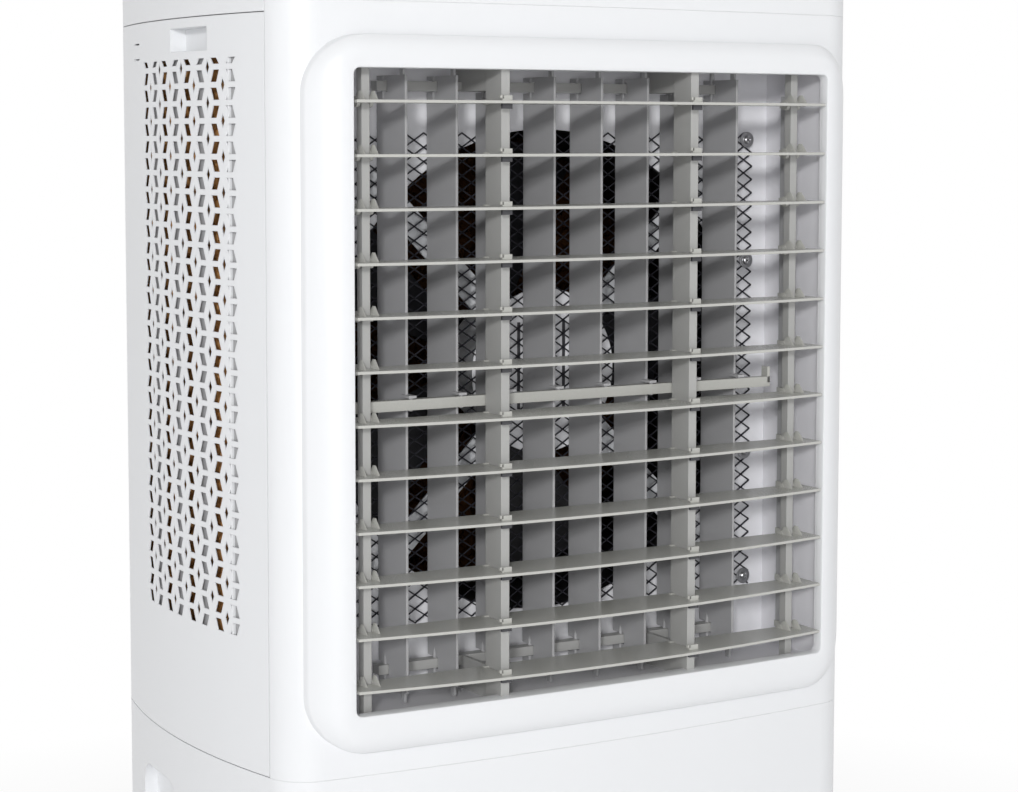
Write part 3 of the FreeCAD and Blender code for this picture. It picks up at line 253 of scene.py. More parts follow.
def ringMaterial(name, steel, paint, height, radius):
    # white painted disc in the middle of the zinc straps
    material = zincMaterial(name, steel)
    tree = material.node_tree
    shader = tree.nodes["Principled BSDF"]
    centred = place(tree, "ShaderNodeVectorMath", {0: objectPlace(tree), 1: (0.0, 0.0, height)},
                    operation="SUBTRACT")
    flat = place(tree, "ShaderNodeVectorMath", {0: centred.outputs[0], 1: (1.0, 0.0, 1.0)},
                 operation="MULTIPLY")
    away = place(tree, "ShaderNodeVectorMath", {0: flat.outputs[0]}, operation="LENGTH").outputs["Value"]
    steelShare = calc(tree, "GREATER_THAN", away, radius)
    mixed = twoTones(tree, steelShare, paint)
    tree.links.new(finishNode(tree).outputs["Colour"], mixed.inputs["B"])
    tree.links.new(mixed.outputs["Result"], shader.inputs["Base Color"])
    tree.links.new(calc(tree, "MULTIPLY", steelShare, zincMetallic), shader.inputs["Metallic"])
    return material


def celluloseMaterial(name, dark, light):
    # glued wavy paper: brown with fibres and darker wet patches
    material, tree, shader = newMaterial(name)
    where = place(tree, "ShaderNodeTexCoord").outputs["Object"]
    stretched = place(tree, "ShaderNodeMapping", {"Vector": where, "Scale": (1.0, 1.0, 0.25)})
    fibres = place(tree, "ShaderNodeTexNoise", {
        "Vector": stretched.outputs[0], "Scale": 420.0, "Detail": 4.0,
    })
    patches = place(tree, "ShaderNodeTexNoise", {"Vector": where, "Scale": 9.0, "Detail": 2.0})
    blend = calc(tree, "MULTIPLY", fibres.outputs["Fac"], 0.5)
    blend = calc(tree, "MULTIPLY_ADD", patches.outputs["Fac"], 0.6, blend)
    ramp = place(tree, "ShaderNodeValToRGB", {"Fac": blend})
    ramp.color_ramp.elements[0].position = 0.3
    ramp.color_ramp.elements[0].color = (*dark, 1.0)
    ramp.color_ramp.elements[1].position = 0.75
    ramp.color_ramp.elements[1].color = (*light, 1.0)
    bump = place(tree, "ShaderNodeBump", {
        "Strength": 0.6, "Distance": 0.0006, "Height": fibres.outputs["Fac"],
    })
    tree.links.new(ramp.outputs[0], shader.inputs["Base Color"])
    tree.links.new(bump.outputs[0], shader.inputs["Normal"])
    shader.inputs["Roughness"].default_value = 0.9
    shader.inputs["Specular IOR Level"].default_value = 0.2
    return material


bodyWhite = (0.79, 0.8, 0.815)
# grey of the painted shade on the slats behind the side grille
slatShadeGrey = (0.4, 0.4, 0.41)
shroudWhite = (0.84, 0.84, 0.87)
tunnelBlack = (0.01, 0.009, 0.009)
ringSteel = (0.6, 0.61, 0.63)
panelShape = {"middle": 0.0245, "half": 0.2, "bulge": 0.027, "widest": 0.344, "under": 0.003, "top": 1.002}
tunnelEdge = -0.0893
motorDisc = {"height": 0.694, "radius": 0.0815}
satinPlastic = {**plastic, "Roughness": 0.5}
polished = {**satinGrey, "Roughness": 0.3}

finishes = {
    "white_plastic": mouldedMaterial("bodyWhite", bodyWhite, plastic),
    "panel_white": panelMaterial("panelWhiteSlatShade", bodyWhite, slatShadeGrey, panelShape),
    "louvre_grey": mouldedMaterial("louvreGrey", (0.49, 0.49, 0.46), {**satinGrey, "Roughness": 0.27}),
    "vane_grey": mouldedMaterial("vaneGrey", (0.44, 0.44, 0.45), satinGrey),
    "post_grey": mouldedMaterial("postGrey", (0.42, 0.42, 0.41), satinGrey),
    "duct_white": mouldedMaterial("ductWhite", (0.8, 0.795, 0.825), satinPlastic),
    "black_mesh": mouldedMaterial("meshBlack", (0.022, 0.022, 0.03), sootBlack),
    "fan_black": mouldedMaterial("fanBlack", (0.018, 0.018, 0.022), sootBlack),
    # dark plastic, also used for dark blocks of painted shade under the louvre clips and on the motor's front
    "dark_plastic": mouldedMaterial("darkPlasticAndShade", (0.05, 0.05, 0.056), {**satinGrey, "Edge Highlight": 0.5}),
    "motor_shell": mouldedMaterial("motorShell", (0.82, 0.82, 0.85), {**satinGrey, "Roughness": 0.35}),
    "screw_steel": mouldedMaterial("screwSteel", (0.45, 0.45, 0.46), polished, metallic=1.0),
    "brass_inlet": mouldedMaterial("brassInlet", (0.62, 0.42, 0.16), polished, metallic=1.0),
    "wheel_rubber": mouldedMaterial("wheelRubber", (0.035, 0.035, 0.036), tyre),
    "galvanised": zincMaterial("galvanisedSheet", (0.5, 0.51, 0.53)),
    "pad_cellulose": celluloseMaterial("cellulosePaper", (0.2, 0.085, 0.028), (0.6, 0.32, 0.12)),
    # near-black copy of the pad paper for the rear pad: painted shade deep inside the body
    "wet_cellulose": celluloseMaterial("shadedPadPaper", (0.014, 0.006, 0.003), (0.12, 0.05, 0.016)),
    "fan_tunnel": shroudMaterial("fanTunnel", shroudWhite, tunnelBlack, tunnelEdge),
    "motor_ring": ringMaterial("motorRing", ringSteel, shroudWhite, **motorDisc),
    "display_glass": mouldedMaterial("displayGlass", (0.01, 0.012, 0.014),
                                     {**satinGrey, "Roughness": 0.08}, coat=1.0),
    "lit_segment": mouldedMaterial("litSegment", (0.75, 0.86, 0.9), {**satinGrey, "Edge Highlight": 0.0}),
}

ownFinish = {"louvre_frame": "post_grey", "fan_panel": "fan_tunnel", "motor_bracket": "motor_ring",
             "left_panel": "panel_white", "right_panel": "panel_white"}
for part in frame["record"]["subparts"]:
    node = nodes[part["node"]]
    choice = ownFinish.get(part["node"], part["material_slot"])
    node.data.materials.clear()
    node.data.materials.append(finishes[choice])
print("materials made:", len(finishes))


# growing pieces from geometry trees

def growPiece(name, tree, values, body, points=(), replaced=()):
    piece = bpy.data.objects.new(name, bpy.data.meshes.new(name + "Seed"))
    piece.data.from_pydata([tuple(p) for p in points], [], [])
    scene.collection.objects.link(piece)
    modifier = piece.modifiers.new("shape", "NODES")
    modifier.node_group = tree
    wanted = dict(values)
    for socket in tree.interface.items_tree:
        if socket.item_type == "SOCKET" and socket.in_out == "INPUT" and socket.name in wanted:
            modifier[socket.identifier] = wanted.pop(socket.name)
    if wanted:
        raise ValueError("%s has no inputs %s" % (name, sorted(wanted)))
    bpy.context.view_layer.update()
    graph = bpy.context.evaluated_depsgraph_get()
    mesh = bpy.data.meshes.new_from_object(piece.evaluated_get(graph), depsgraph=graph)
    mesh.name = name
    piece.modifiers.clear()
    piece.data = mesh
    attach(piece, body)
    if replaced:
        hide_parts(*replaced)
    return piece


def finishTree(tree, given, result, geometry):
    solid = place(tree, "GeometryNodeRealizeInstances", {0: geometry})
    painted = place(tree, "GeometryNodeSetMaterial", {
        "Geometry": solid.outputs[0], "Material": given.outputs["Material"],
    })
    tree.links.new(painted.outputs[0], result.inputs["Geometry"])


# expanded metal guard in front of the fan

guardSizes = {"Columns": 24, "Rows": 68, "Diamond Width": 0.021, "Diamond Height": 0.0137,
              "Strand": 0.0014, "Depth": -0.0961, "Middle Height": 0.6925}


def expandedMesh():
    tree, given, result = openGroup("expandedMesh", "GeometryNodeTree", [
        ("Geometry", "NodeSocketGeometry", None),
        ("Columns", "NodeSocketInt", 24),
        ("Rows", "NodeSocketInt", 60),
        ("Diamond Width", "NodeSocketFloat", 0.021),
        ("Diamond Height", "NodeSocketFloat", 0.0157),
        ("Strand", "NodeSocketFloat", 0.0019),
        ("Depth", "NodeSocketFloat", 0.0),
        ("Middle Height", "NodeSocketFloat", 0.0),
        ("Material", "NodeSocketMaterial", None),
    ], [("Geometry", "NodeSocketGeometry")])
    g = given.outputs
    count = calc(tree, "MULTIPLY_ADD", g["Columns"], 2.0, 1.0)
    step = calc(tree, "DIVIDE", g["Diamond Width"], 2.0)
    half = calc(tree, "MULTIPLY", g["Columns"], g["Diamond Width"])
    start = calc(tree, "DIVIDE", half, -2.0)
    line = place(tree, "GeometryNodeMeshLine", {
        "Count": count, "Start Location": sizeVector(tree, start, 0.0, 0.0),
        "Offset": sizeVector(tree, step, 0.0, 0.0),
    })
    index = place(tree, "GeometryNodeInputIndex").outputs[0]
    odd = calc(tree, "MODULO", index, 2.0)
    wave = calc(tree, "SUBTRACT", odd, 0.5)
    rise = calc(tree, "MULTIPLY", wave, g["Diamond Height"])
    rise = calc(tree, "DIVIDE", rise, 2.0)
    lift = sizeVector(tree, 0.0, 0.0, rise)
    zigzag = place(tree, "GeometryNodeSetPosition", {"Geometry": line.outputs[0], "Offset": lift})
    path = place(tree, "GeometryNodeMeshToCurve", {"Mesh": zigzag.outputs[0]})
    section = place(tree, "GeometryNodeCurvePrimitiveQuadrilateral", {
        "Width": g["Strand"], "Height": g["Strand"],
    })
    strand = place(tree, "GeometryNodeCurveToMesh", {
        "Curve": path.outputs[0], "Profile Curve": section.outputs[0], "Fill Caps": True,
    })
    spacing = calc(tree, "DIVIDE", g["Diamond Height"], 2.0)
    rowCount = calc(tree, "ADD", g["Rows"], 1.0)
    low = calc(tree, "MULTIPLY", g["Rows"], spacing)
    low = calc(tree, "DIVIDE", low, -2.0)
    low = calc(tree, "ADD", low, g["Middle Height"])
    rows = place(tree, "GeometryNodeMeshLine", {
        "Count": rowCount, "Start Location": sizeVector(tree, 0.0, g["Depth"], low),
        "Offset": sizeVector(tree, 0.0, 0.0, spacing),
    })
    turned = sizeVector(tree, 0.0, calc(tree, "MULTIPLY", odd, math.pi), 0.0)
    spread = place(tree, "GeometryNodeInstanceOnPoints", {
        "Points": rows.outputs[0], "Instance": strand.outputs[0], "Rotation": turned,
    })
    finishTree(tree, given, result, spread.outputs[0])
    return tree


guard = growPiece("guardMesh", expandedMesh(), {**guardSizes, "Material": finishes["black_mesh"]},
                  "housing", replaced=["fan_guard"])
print("guard mesh:", len(guard.data.polygons), "faces")


# soft frame around the outlet: flat lip, then a smooth fall to the body

bezel = {"halfWidth": 0.265, "bottom": 0.4015, "top": 0.9865, "corner": 0.006, "front": -0.2035,
         "bow": 0.008, "lipBack": 0.01, "round": 0.0012, "sideMargin": 0.039, "topMargin": 0.03,
         "bottomMargin": 0.036, "outerCorner": 0.053, "edgeDepth": 0.009, "edgeBow": 0.016,
         "bodyHalf": 0.317, "wall": 0.005, "backFall": 0.012, "steps": 16, "crowding": 0.7,
         "ease": 2.4, "endFall": 0.008, "endEase": 4.5}


def roundedRing(half, low, high, radius, straight=48, upright=32, corner=14):
    # points around a rounded rectangle in the front plane, the same count for every ring
    corners = [(half - radius, high - radius, 0), (-half + radius, high - radius, 90),
               (-half + radius, low + radius, 180), (half - radius, low + radius, 270)]
    points = []

    def onArc(cx, cz, degrees):
        angle = math.radians(degrees)
        return cx + radius * math.cos(angle), cz + radius * math.sin(angle)

    for index, (cx, cz, start) in enumerate(corners):
        arc = [onArc(cx, cz, start + 90 * k / corner) for k in range(corner + 1)]
        points.extend(arc)
        goal = onArc(*corners[(index + 1) % 4])
        count = straight if index % 2 == 0 else upright
        points.extend((arc[-1][0] + (goal[0] - arc[-1][0]) * k / count,
                       arc[-1][1] + (goal[1] - arc[-1][1]) * k / count) for k in range(1, count))
    return points


def makeBezel():
    b = bezel
    inner = roundedRing(b["halfWidth"], b["bottom"], b["top"], b["corner"])
    outer = roundedRing(b["halfWidth"] + b["sideMargin"], b["bottom"] - b["bottomMargin"],
                        b["top"] + b["topMargin"], b["outerCorner"])

    def lipAt(x):
        return b["front"] - b["bow"] * (1.0 - (x / b["halfWidth"]) ** 2)

    def edgeAt(x):
        return b["front"] + b["edgeDepth"] + b["edgeBow"] * (x / b["bodyHalf"]) ** 2

    def mixed(t):
        return [(p[0] + (q[0] - p[0]) * t, p[1] + (q[1] - p[1]) * t) for p, q in zip(inner, outer)]

    # 1 beside the outlet, 0 above and below it, turning smoothly in the corners
    insideX = b["halfWidth"] + b["sideMargin"] - b["outerCorner"]
    sideShare = [min(1.0, max(0.0, (abs(x) - insideX) / b["outerCorner"])) ** 2 for x, z in outer]

    rings = [[(x, b["front"] + b["lipBack"], z) for x, z in inner]]
    for turn in (0.0, 0.5):
        away = b["round"] * (1.0 - math.cos(math.pi * turn / 2))
        sunk = b["round"] * (1.0 - math.sin(math.pi * turn / 2))
        rings.append([(x, lipAt(x) + sunk, z) for x, z in mixed(away / b["topMargin"])])
    first = b["round"] / b["topMargin"]
    for step in range(b["steps"] + 1):
        t = first + (1.0 - first) * (step / b["steps"]) ** b["crowding"]
        ring = []
        for (x, z), (ox, oz), share in zip(mixed(t), outer, sideShare):
            depth = share * (edgeAt(ox) - lipAt(ox)) + (1.0 - share) * b["endFall"]
            power = share * b["ease"] + (1.0 - share) * b["endEase"]
            ring.append((x, lipAt(x) + depth * t ** power, z))
        rings.append(ring)
    rings.append([(x, edgeAt(x) + b["wall"] + b["backFall"] * (x / b["bodyHalf"]) ** 4, z)
                  for x, z in outer])
    count = len(inner)
    points = [point for ring in rings for point in ring]
    faces = []
    for level in range(len(rings)):
        here = level * count
        above = (level + 1) % len(rings) * count
        for index in range(count):
            after = (index + 1) % count
            faces.append((here + index, above + index, above + after, here + after))
    mesh = bpy.data.meshes.new("softBezel")
    mesh.from_pydata(points, [], faces)
    mesh.validate()
    mesh.polygons.foreach_set("use_smooth", [True] * len(mesh.polygons))
    mesh.set_sharp_from_angle(angle=math.radians(40.0))
    mesh.materials.append(finishes["white_plastic"])
    piece = bpy.data.objects.new("softBezel", mesh)
    scene.collection.objects.link(piece)
    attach(piece, "housing")
    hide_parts("outlet_bezel")
    return piece


frontFrame = makeBezel()
print("bezel:", len(frontFrame.data.polygons), "faces")


# wavy sheets glued into cooling pads

def wavySheets():
    tree, given, result = openGroup("wavySheets", "GeometryNodeTree", [
        ("Geometry", "NodeSocketGeometry", None),
        ("Sheets", "NodeSocketInt", 20),
        ("Spacing", "NodeSocketFloat", 0.009),
        ("Thickness", "NodeSocketFloat", 0.04),
        ("Height", "NodeSocketFloat", 0.56),
        ("Rows", "NodeSocketInt", 100),
        ("Columns", "NodeSocketInt", 9),
        ("Wave", "NodeSocketFloat", 0.014),
        ("Paper", "NodeSocketFloat", 0.0006),
        ("Centre", "NodeSocketVector", (0.0, 0.0, 0.0)),
        ("Turn", "NodeSocketFloat", 0.0),
        ("Material", "NodeSocketMaterial", None),
    ], [("Geometry", "NodeSocketGeometry")])
    g = given.outputs
    grid = place(tree, "GeometryNodeMeshGrid", {
        "Size X": g["Thickness"], "Size Y": g["Height"],
        "Vertices X": g["Columns"], "Vertices Y": g["Rows"],
    })
    at = place(tree, "ShaderNodeSeparateXYZ", {0: place(tree, "GeometryNodeInputPosition").outputs[0]})
    slanted = calc(tree, "ADD", at.outputs[0], at.outputs[1])
    phase = calc(tree, "DIVIDE", slanted, g["Wave"])
    phase = calc(tree, "MULTIPLY", phase, math.tau * math.sqrt(0.5))
    swell = calc(tree, "SINE", phase)
    reach = calc(tree, "SUBTRACT", g["Spacing"], g["Paper"])
    reach = calc(tree, "DIVIDE", reach, 2.0)
    swell = calc(tree, "MULTIPLY", swell, reach)
    stood = sizeVector(tree, swell, at.outputs[0], at.outputs[1])
    sheet = place(tree, "GeometryNodeSetPosition", {"Geometry": grid.outputs[0], "Position": stood})
    backSide = place(tree, "GeometryNodeFlipFaces", {"Mesh": sheet.outputs[0]})
    thick = place(tree, "GeometryNodeExtrudeMesh", {
        "Mesh": sheet.outputs[0], "Offset Scale": g["Paper"], "Individual": False,
    }, mode="FACES")
    closed = place(tree, "GeometryNodeJoinGeometry")
    tree.links.new(thick.outputs[0], closed.inputs[0])
    tree.links.new(backSide.outputs[0], closed.inputs[0])
    merged = place(tree, "GeometryNodeMergeByDistance", {
        "Geometry": closed.outputs[0], "Distance": 0.00005,
    })
    span = calc(tree, "SUBTRACT", g["Sheets"], 1.0)
    span = calc(tree, "MULTIPLY", span, g["Spacing"])
    first = calc(tree, "DIVIDE", span, -2.0)
    spots = place(tree, "GeometryNodeMeshLine", {
        "Count": g["Sheets"], "Start Location": sizeVector(tree, first, 0.0, 0.0),
        "Offset": sizeVector(tree, g["Spacing"], 0.0, 0.0),
    })
    odd = calc(tree, "MODULO", place(tree, "GeometryNodeInputIndex").outputs[0], 2.0)
    turned = sizeVector(tree, 0.0, 0.0, calc(tree, "MULTIPLY", odd, math.pi))
    stack = place(tree, "GeometryNodeInstanceOnPoints", {
        "Points": spots.outputs[0], "Instance": merged.outputs[0], "Rotation": turned,
    })
    moved = place(tree, "GeometryNodeTransform", {
        "Geometry": stack.outputs[0], "Translation": g["Centre"],
        "Rotation": sizeVector(tree, 0.0, 0.0, g["Turn"]),
    })
    finishTree(tree, given, result, moved.outputs[0])
    return tree


padSheets = {"spacing": 0.009, "rowStep": 0.0058, "rearRowStep": 0.0069, "columnStep": 0.007,
             "wave": 0.0155, "paper": 0.0007}


def makePads():
    tree = wavySheets()
    for node, body in (("left_pad", "left_side"), ("right_pad", "right_side"), ("rear_pad", "housing")):
        low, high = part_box(node)
        size = high - low
        alongY = size.y > size.x
        length, thickness = (size.y, size.x) if alongY else (size.x, size.y)
        count = int(length / padSheets["spacing"])
        rowStep = padSheets["rearRowStep" if node == "rear_pad" else "rowStep"]
        # the rear pad takes the near-black paper, painted shade deep inside the body
        growPiece(node.replace("_pad", "PadSheets"), tree, {
            "Sheets": count, "Spacing": length / count, "Thickness": thickness, "Height": size.z,
            "Rows": int(size.z / rowStep),
            "Columns": int(thickness / padSheets["columnStep"]) + 1,
            "Wave": padSheets["wave"], "Paper": padSheets["paper"], "Centre": (low + high) / 2,
            "Turn": math.pi / 2 if alongY else 0.0,
            "Material": finishes["wet_cellulose" if node == "rear_pad" else "pad_cellulose"],
        }, body, replaced=[node])


makePads()
print("pads made")


# parts of small solid blocks and rods

def block(tree, size, at):
    cube = place(tree, "GeometryNodeMeshCube", {"Size": size})
    return place(tree, "GeometryNodeTransform", {"Geometry": cube.outputs[0], "Translation": at}).outputs[0]


def rod(tree, radius, length, at, turn=(0.0, 0.0, 0.0), sides=20):
    cylinder = place(tree, "GeometryNodeMeshCylinder", {
        "Vertices": sides, "Radius": radius, "Depth": length,
    })
    return place(tree, "GeometryNodeTransform", {
        "Geometry": cylinder.outputs[0], "Translation": at, "Rotation": turn,
    }).outputs[0]


def gather(tree, parts, material=None):
    joined = place(tree, "GeometryNodeJoinGeometry")
    for part in parts:
        tree.links.new(part, joined.inputs[0])
    if material is None:
        return joined.outputs[0]
    painted = place(tree, "GeometryNodeSetMaterial", {"Geometry": joined.outputs[0], "Material": material})
    return painted.outputs[0]


def spreadTree(tree, given, result, unit):
    spots = place(tree, "GeometryNodeInstanceOnPoints", {
        "Points": given.outputs["Geometry"], "Instance": unit,
    })
    solid = place(tree, "GeometryNodeRealizeInstances", {0: spots.outputs[0]})
    tree.links.new(solid.outputs[0], result.inputs["Geometry"])


acrossX = (0.0, math.pi / 2, 0.0)
acrossY = (math.pi / 2, 0.0, 0.0)


# clips of each louvre in front of the two inner posts, with a dark tab under each as painted shade, bosses at its
# ends

clipSizes = {"Width": 0.0105, "Thickness": 0.003, "Height": 0.0048, "Reach": 0.0362, "Lean": -0.006,
             "Blade Half": 0.0013}
bossSizes = {"Radius": 0.0052, "Length": 0.0034, "Gusset": 0.012}
louvrePlaces = {"clip": 0.1065, "bosses": (0.2352, 0.2484)}


def louvreClips():
    tree, given, result = openGroup("louvreClips", "GeometryNodeTree", [
        ("Geometry", "NodeSocketGeometry", None),
        ("Width", "NodeSocketFloat", 0.01),
        ("Thickness", "NodeSocketFloat", 0.003),
        ("Height", "NodeSocketFloat", 0.006),
        ("Reach", "NodeSocketFloat", 0.03),
        ("Lean", "NodeSocketFloat", 0.0),
        ("Blade Half", "NodeSocketFloat", 0.0013),
        ("Light", "NodeSocketMaterial", None),
        ("Painted Shade", "NodeSocketMaterial", None),
    ], [("Geometry", "NodeSocketGeometry")])
    g = given.outputs
    forward = calc(tree, "MULTIPLY", g["Reach"], -1.0)
    up = calc(tree, "MULTIPLY_ADD", g["Height"], 0.5, g["Blade Half"])
    down = calc(tree, "MULTIPLY", up, -1.0)
    narrow = calc(tree, "MULTIPLY", g["Width"], 0.3)
    left = calc(tree, "MULTIPLY_ADD", g["Width"], -0.55, g["Lean"])
    tab = sizeVector(tree, g["Width"], g["Thickness"], g["Height"])
    plate = block(tree, tab, sizeVector(tree, g["Lean"], forward, up))
    lug = block(tree, sizeVector(tree, narrow, g["Thickness"], narrow),
                sizeVector(tree, left, forward, g["Height"]))
    light = gather(tree, [plate, lug], g["Light"])
    # dark tab under the blade: painted shade below the louvre
    shadeTab = block(tree, tab, sizeVector(tree, g["Lean"], forward, down))
    dark = gather(tree, [shadeTab], g["Painted Shade"])
    spreadTree(tree, given, result, gather(tree, [light, dark]))
    return tree


def endBosses():
    tree, given, result = openGroup("endBosses", "GeometryNodeTree", [
        ("Geometry", "NodeSocketGeometry", None),
        ("Radius", "NodeSocketFloat", 0.005),
        ("Length", "NodeSocketFloat", 0.004),
        ("Gusset", "NodeSocketFloat", 0.012),
        ("Material", "NodeSocketMaterial", None),
    ], [("Geometry", "NodeSocketGeometry")])
    g = given.outputs
    ring = rod(tree, g["Radius"], g["Length"], (0.0, 0.0, 0.0), acrossX)
    top = calc(tree, "MULTIPLY", g["Gusset"], 0.25)
    tall = calc(tree, "MULTIPLY", g["Gusset"], 0.8)
    cone = place(tree, "GeometryNodeMeshCone", {
        "Vertices": 12, "Radius Top": top, "Radius Bottom": g["Gusset"], "Depth": tall,
    })
    thin = calc(tree, "DIVIDE", g["Length"], calc(tree, "MULTIPLY", g["Gusset"], 2.0))
    forward = calc(tree, "MULTIPLY", g["Gusset"], -0.6)
    gusset = place(tree, "GeometryNodeTransform", {
        "Geometry": cone.outputs[0], "Translation": sizeVector(tree, 0.0, forward, 0.0),
        "Scale": sizeVector(tree, thin, 1.0, 1.0),
    })
    spreadTree(tree, given, result, gather(tree, [ring, gusset.outputs[0]], g["Material"]))
    return tree


def makeLouvreDetails():
    clips = louvreClips()
    bosses = endBosses()
    for joint in frame["joints"]:
        if not joint["name"].startswith("louvre_tilt_"):
            continue
        number = joint["name"][-2:]
        x, y, z = joint["pos_m"]
        growPiece("louvreClips" + number, clips, {
            **clipSizes, "Light": finishes["louvre_grey"], "Painted Shade": finishes["dark_plastic"],
        }, joint["child"], points=[(side * louvrePlaces["clip"], y, z) for side in (-1, 1)])
        ends = [(side * offset, y, z) for side in (-1, 1) for offset in louvrePlaces["bosses"]]
        growPiece("endBosses" + number, bosses, {**bossSizes, "Material": finishes["louvre_grey"]},
                  joint["child"], points=ends)


makeLouvreDetails()
print("louvre details made")


# screws with a cross recess

guardScrews = {"across": 0.2446, "heights": (0.922, 0.797, 0.597, 0.465), "front": -0.0982,
               "rise": 0.003, "washer": 0.008}
rearScrews = {"across": 0.285, "heights": (0.37, 0.7, 1.02), "front": 0.2241,
              "rise": 0.001, "washer": 0.0055}


def crossScrews():
    tree, given, result = openGroup("crossScrews", "GeometryNodeTree", [
        ("Geometry", "NodeSocketGeometry", None),
        ("Head", "NodeSocketFloat", 0.0045),
        ("Rise", "NodeSocketFloat", 0.003),
        ("Slot", "NodeSocketFloat", 0.0011),
        ("Washer", "NodeSocketFloat", 0.008),
        ("Thickness", "NodeSocketFloat", 0.0012),
        ("Shank", "NodeSocketFloat", 0.012),
        ("Shank Radius", "NodeSocketFloat", 0.002),
        ("Facing", "NodeSocketFloat", 0.0),
        ("Material", "NodeSocketMaterial", None),
    ], [("Geometry", "NodeSocketGeometry")])
    g = given.outputs
    ball = place(tree, "GeometryNodeMeshUVSphere", {"Segments": 28, "Rings": 14, "Radius": g["Head"]})
    flat = calc(tree, "DIVIDE", g["Rise"], g["Head"])
    dome = place(tree, "GeometryNodeTransform", {
        "Geometry": ball.outputs[0], "Scale": sizeVector(tree, 1.0, flat, 1.0),
    })
    arm = calc(tree, "MULTIPLY", g["Head"], 1.15)
    top = sizeVector(tree, 0.0, calc(tree, "MULTIPLY", g["Rise"], -1.0), 0.0)
    level = block(tree, sizeVector(tree, arm, g["Rise"], g["Slot"]), top)
    upright = block(tree, sizeVector(tree, g["Slot"], g["Rise"], arm), top)
    cross = place(tree, "GeometryNodeMeshBoolean", operation="UNION")
    tree.links.new(level, cross.inputs["Mesh 2"])
    tree.links.new(upright, cross.inputs["Mesh 2"])
    head = place(tree, "GeometryNodeMeshBoolean", operation="DIFFERENCE")
    tree.links.new(dome.outputs[0], head.inputs["Mesh 1"])
    tree.links.new(cross.outputs[0], head.inputs["Mesh 2"])
    half = calc(tree, "MULTIPLY", g["Thickness"], 0.5)
    washer = rod(tree, g["Washer"], g["Thickness"], sizeVector(tree, 0.0, half, 0.0), acrossY, 32)
    middle = calc(tree, "MULTIPLY", g["Shank"], 0.5)
    shank = rod(tree, g["Shank Radius"], g["Shank"], sizeVector(tree, 0.0, middle, 0.0), acrossY)
    unit = gather(tree, [head.outputs[0], washer, shank], g["Material"])
    facing = place(tree, "GeometryNodeTransform", {
        "Geometry": unit, "Rotation": sizeVector(tree, 0.0, 0.0, g["Facing"]),
    })
    spreadTree(tree, given, result, facing.outputs[0])
    return tree


def makeScrews():
    tree = crossScrews()
    for name, spots, facing, replaced in (
        ("guardScrewHeads", guardScrews, 0.0, ["guard_screws"]),
        ("rearScrewHeads", rearScrews, math.pi, []),
    ):
        points = [(side * spots["across"], spots["front"], z) for side in (-1, 1) for z in spots["heights"]]
        growPiece(name, tree, {
            "Rise": spots["rise"], "Washer": spots["washer"], "Facing": facing,
            "Material": finishes["screw_steel"],
        }, "housing", points=points, replaced=replaced)


makeScrews()
print("screws made")


# dark strips on the motor's end shield, painted shade of two grooves, and the hook of the vane link

def stripTree(name):
    tree, given, result = openGroup(name, "GeometryNodeTree", [
        ("Geometry", "NodeSocketGeometry", None),
        ("Size", "NodeSocketVector", (0.003, 0.0008, 0.08)),
        ("Material", "NodeSocketMaterial", None),
    ], [("Geometry", "NodeSocketGeometry")])
    strip = block(tree, given.outputs["Size"], (0.0, 0.0, 0.0))
    spreadTree(tree, given, result, gather(tree, [strip], given.outputs["Material"]))
    return tree


strips = stripTree("strips")
# dark strips painted as the shade of two grooves on the motor's front
motorGrooveShade = {"size": (0.0032, 0.0008, 0.086), "across": (-0.029, 0.0232), "front": -0.0939, "height": 0.7}
linkHook = {"size": (0.003, 0.01, 0.016), "inset": 0.0015, "lift": 0.002}


def growStrips(name, size, finish, body, points):
    return growPiece(name, strips, {"Size": size, "Material": finishes[finish]}, body, points=points)


def makeGrooveShadeAndHook():
    grooveShades = [(x, motorGrooveShade["front"], motorGrooveShade["height"]) for x in motorGrooveShade["across"]]
    growStrips("motorGrooveShade", motorGrooveShade["size"], "dark_plastic", "housing", grooveShades)
    low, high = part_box("vane_link")
    end = (high.x - linkHook["inset"], (low.y + high.y) / 2, high.z + linkHook["lift"])
    growStrips("linkHook", linkHook["size"], "louvre_grey", "vane_bar", [end])


makeGrooveShadeAndHook()
print("motor vents and link hook made")


# display with lit segments, and dots in front of the buttons

digitShapes = {"2": "abged", "4": "fgbc"}
# how far across and along the digit each segment's middle is, and whether it lies level
segmentPlaces = {"a": (0.5, 1.0, True), "b": (1.0, 0.75, False), "c": (1.0, 0.25, False),
                 "d": (0.5, 0.0, True), "e": (0.0, 0.25, False), "f": (0.0, 0.75, False),
                 "g": (0.5, 0.5, True)}
display = {"middle": -0.095, "glass": (0.0636, 0.0236, 0.001), "sunk": 0.0006, "indent": 0.002,
           "width": 0.008, "height": 0.014, "gap": 0.004, "bar": 0.0011, "thick": 0.0002,
           "barSunk": 0.00004}
buttonDots = {"size": (0.0022, 0.0022, 0.0003), "spacing": 0.004, "before": 0.008}


def makeDisplay():
    low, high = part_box("control_panel")
    middle = Vector((display["middle"], (low.y + high.y) / 2, high.z))
    growStrips("displayGlass", display["glass"], "display_glass", "housing",
               [middle - Vector((0.0, 0.0, display["sunk"]))])
    wide, tall, bar, thick = (display[key] for key in ("width", "height", "bar", "thick"))
    spots = {True: [], False: []}
    for column, digit in enumerate("24"):
        start = (column - 1) * (wide + display["gap"]) + display["indent"]
        corner = middle + Vector((start, -tall / 2, -display["barSunk"]))
        for segment in digitShapes[digit]:
            across, along, level = segmentPlaces[segment]
            spots[level].append(corner + Vector((across * wide, along * tall, 0.0)))
    for level, name, size in ((True, "litLevelBars", (wide - bar, bar, thick)),
                              (False, "litUprightBars", (bar, tall / 2 - bar, thick))):
        growStrips(name, size, "lit_segment", "housing", spots[level])


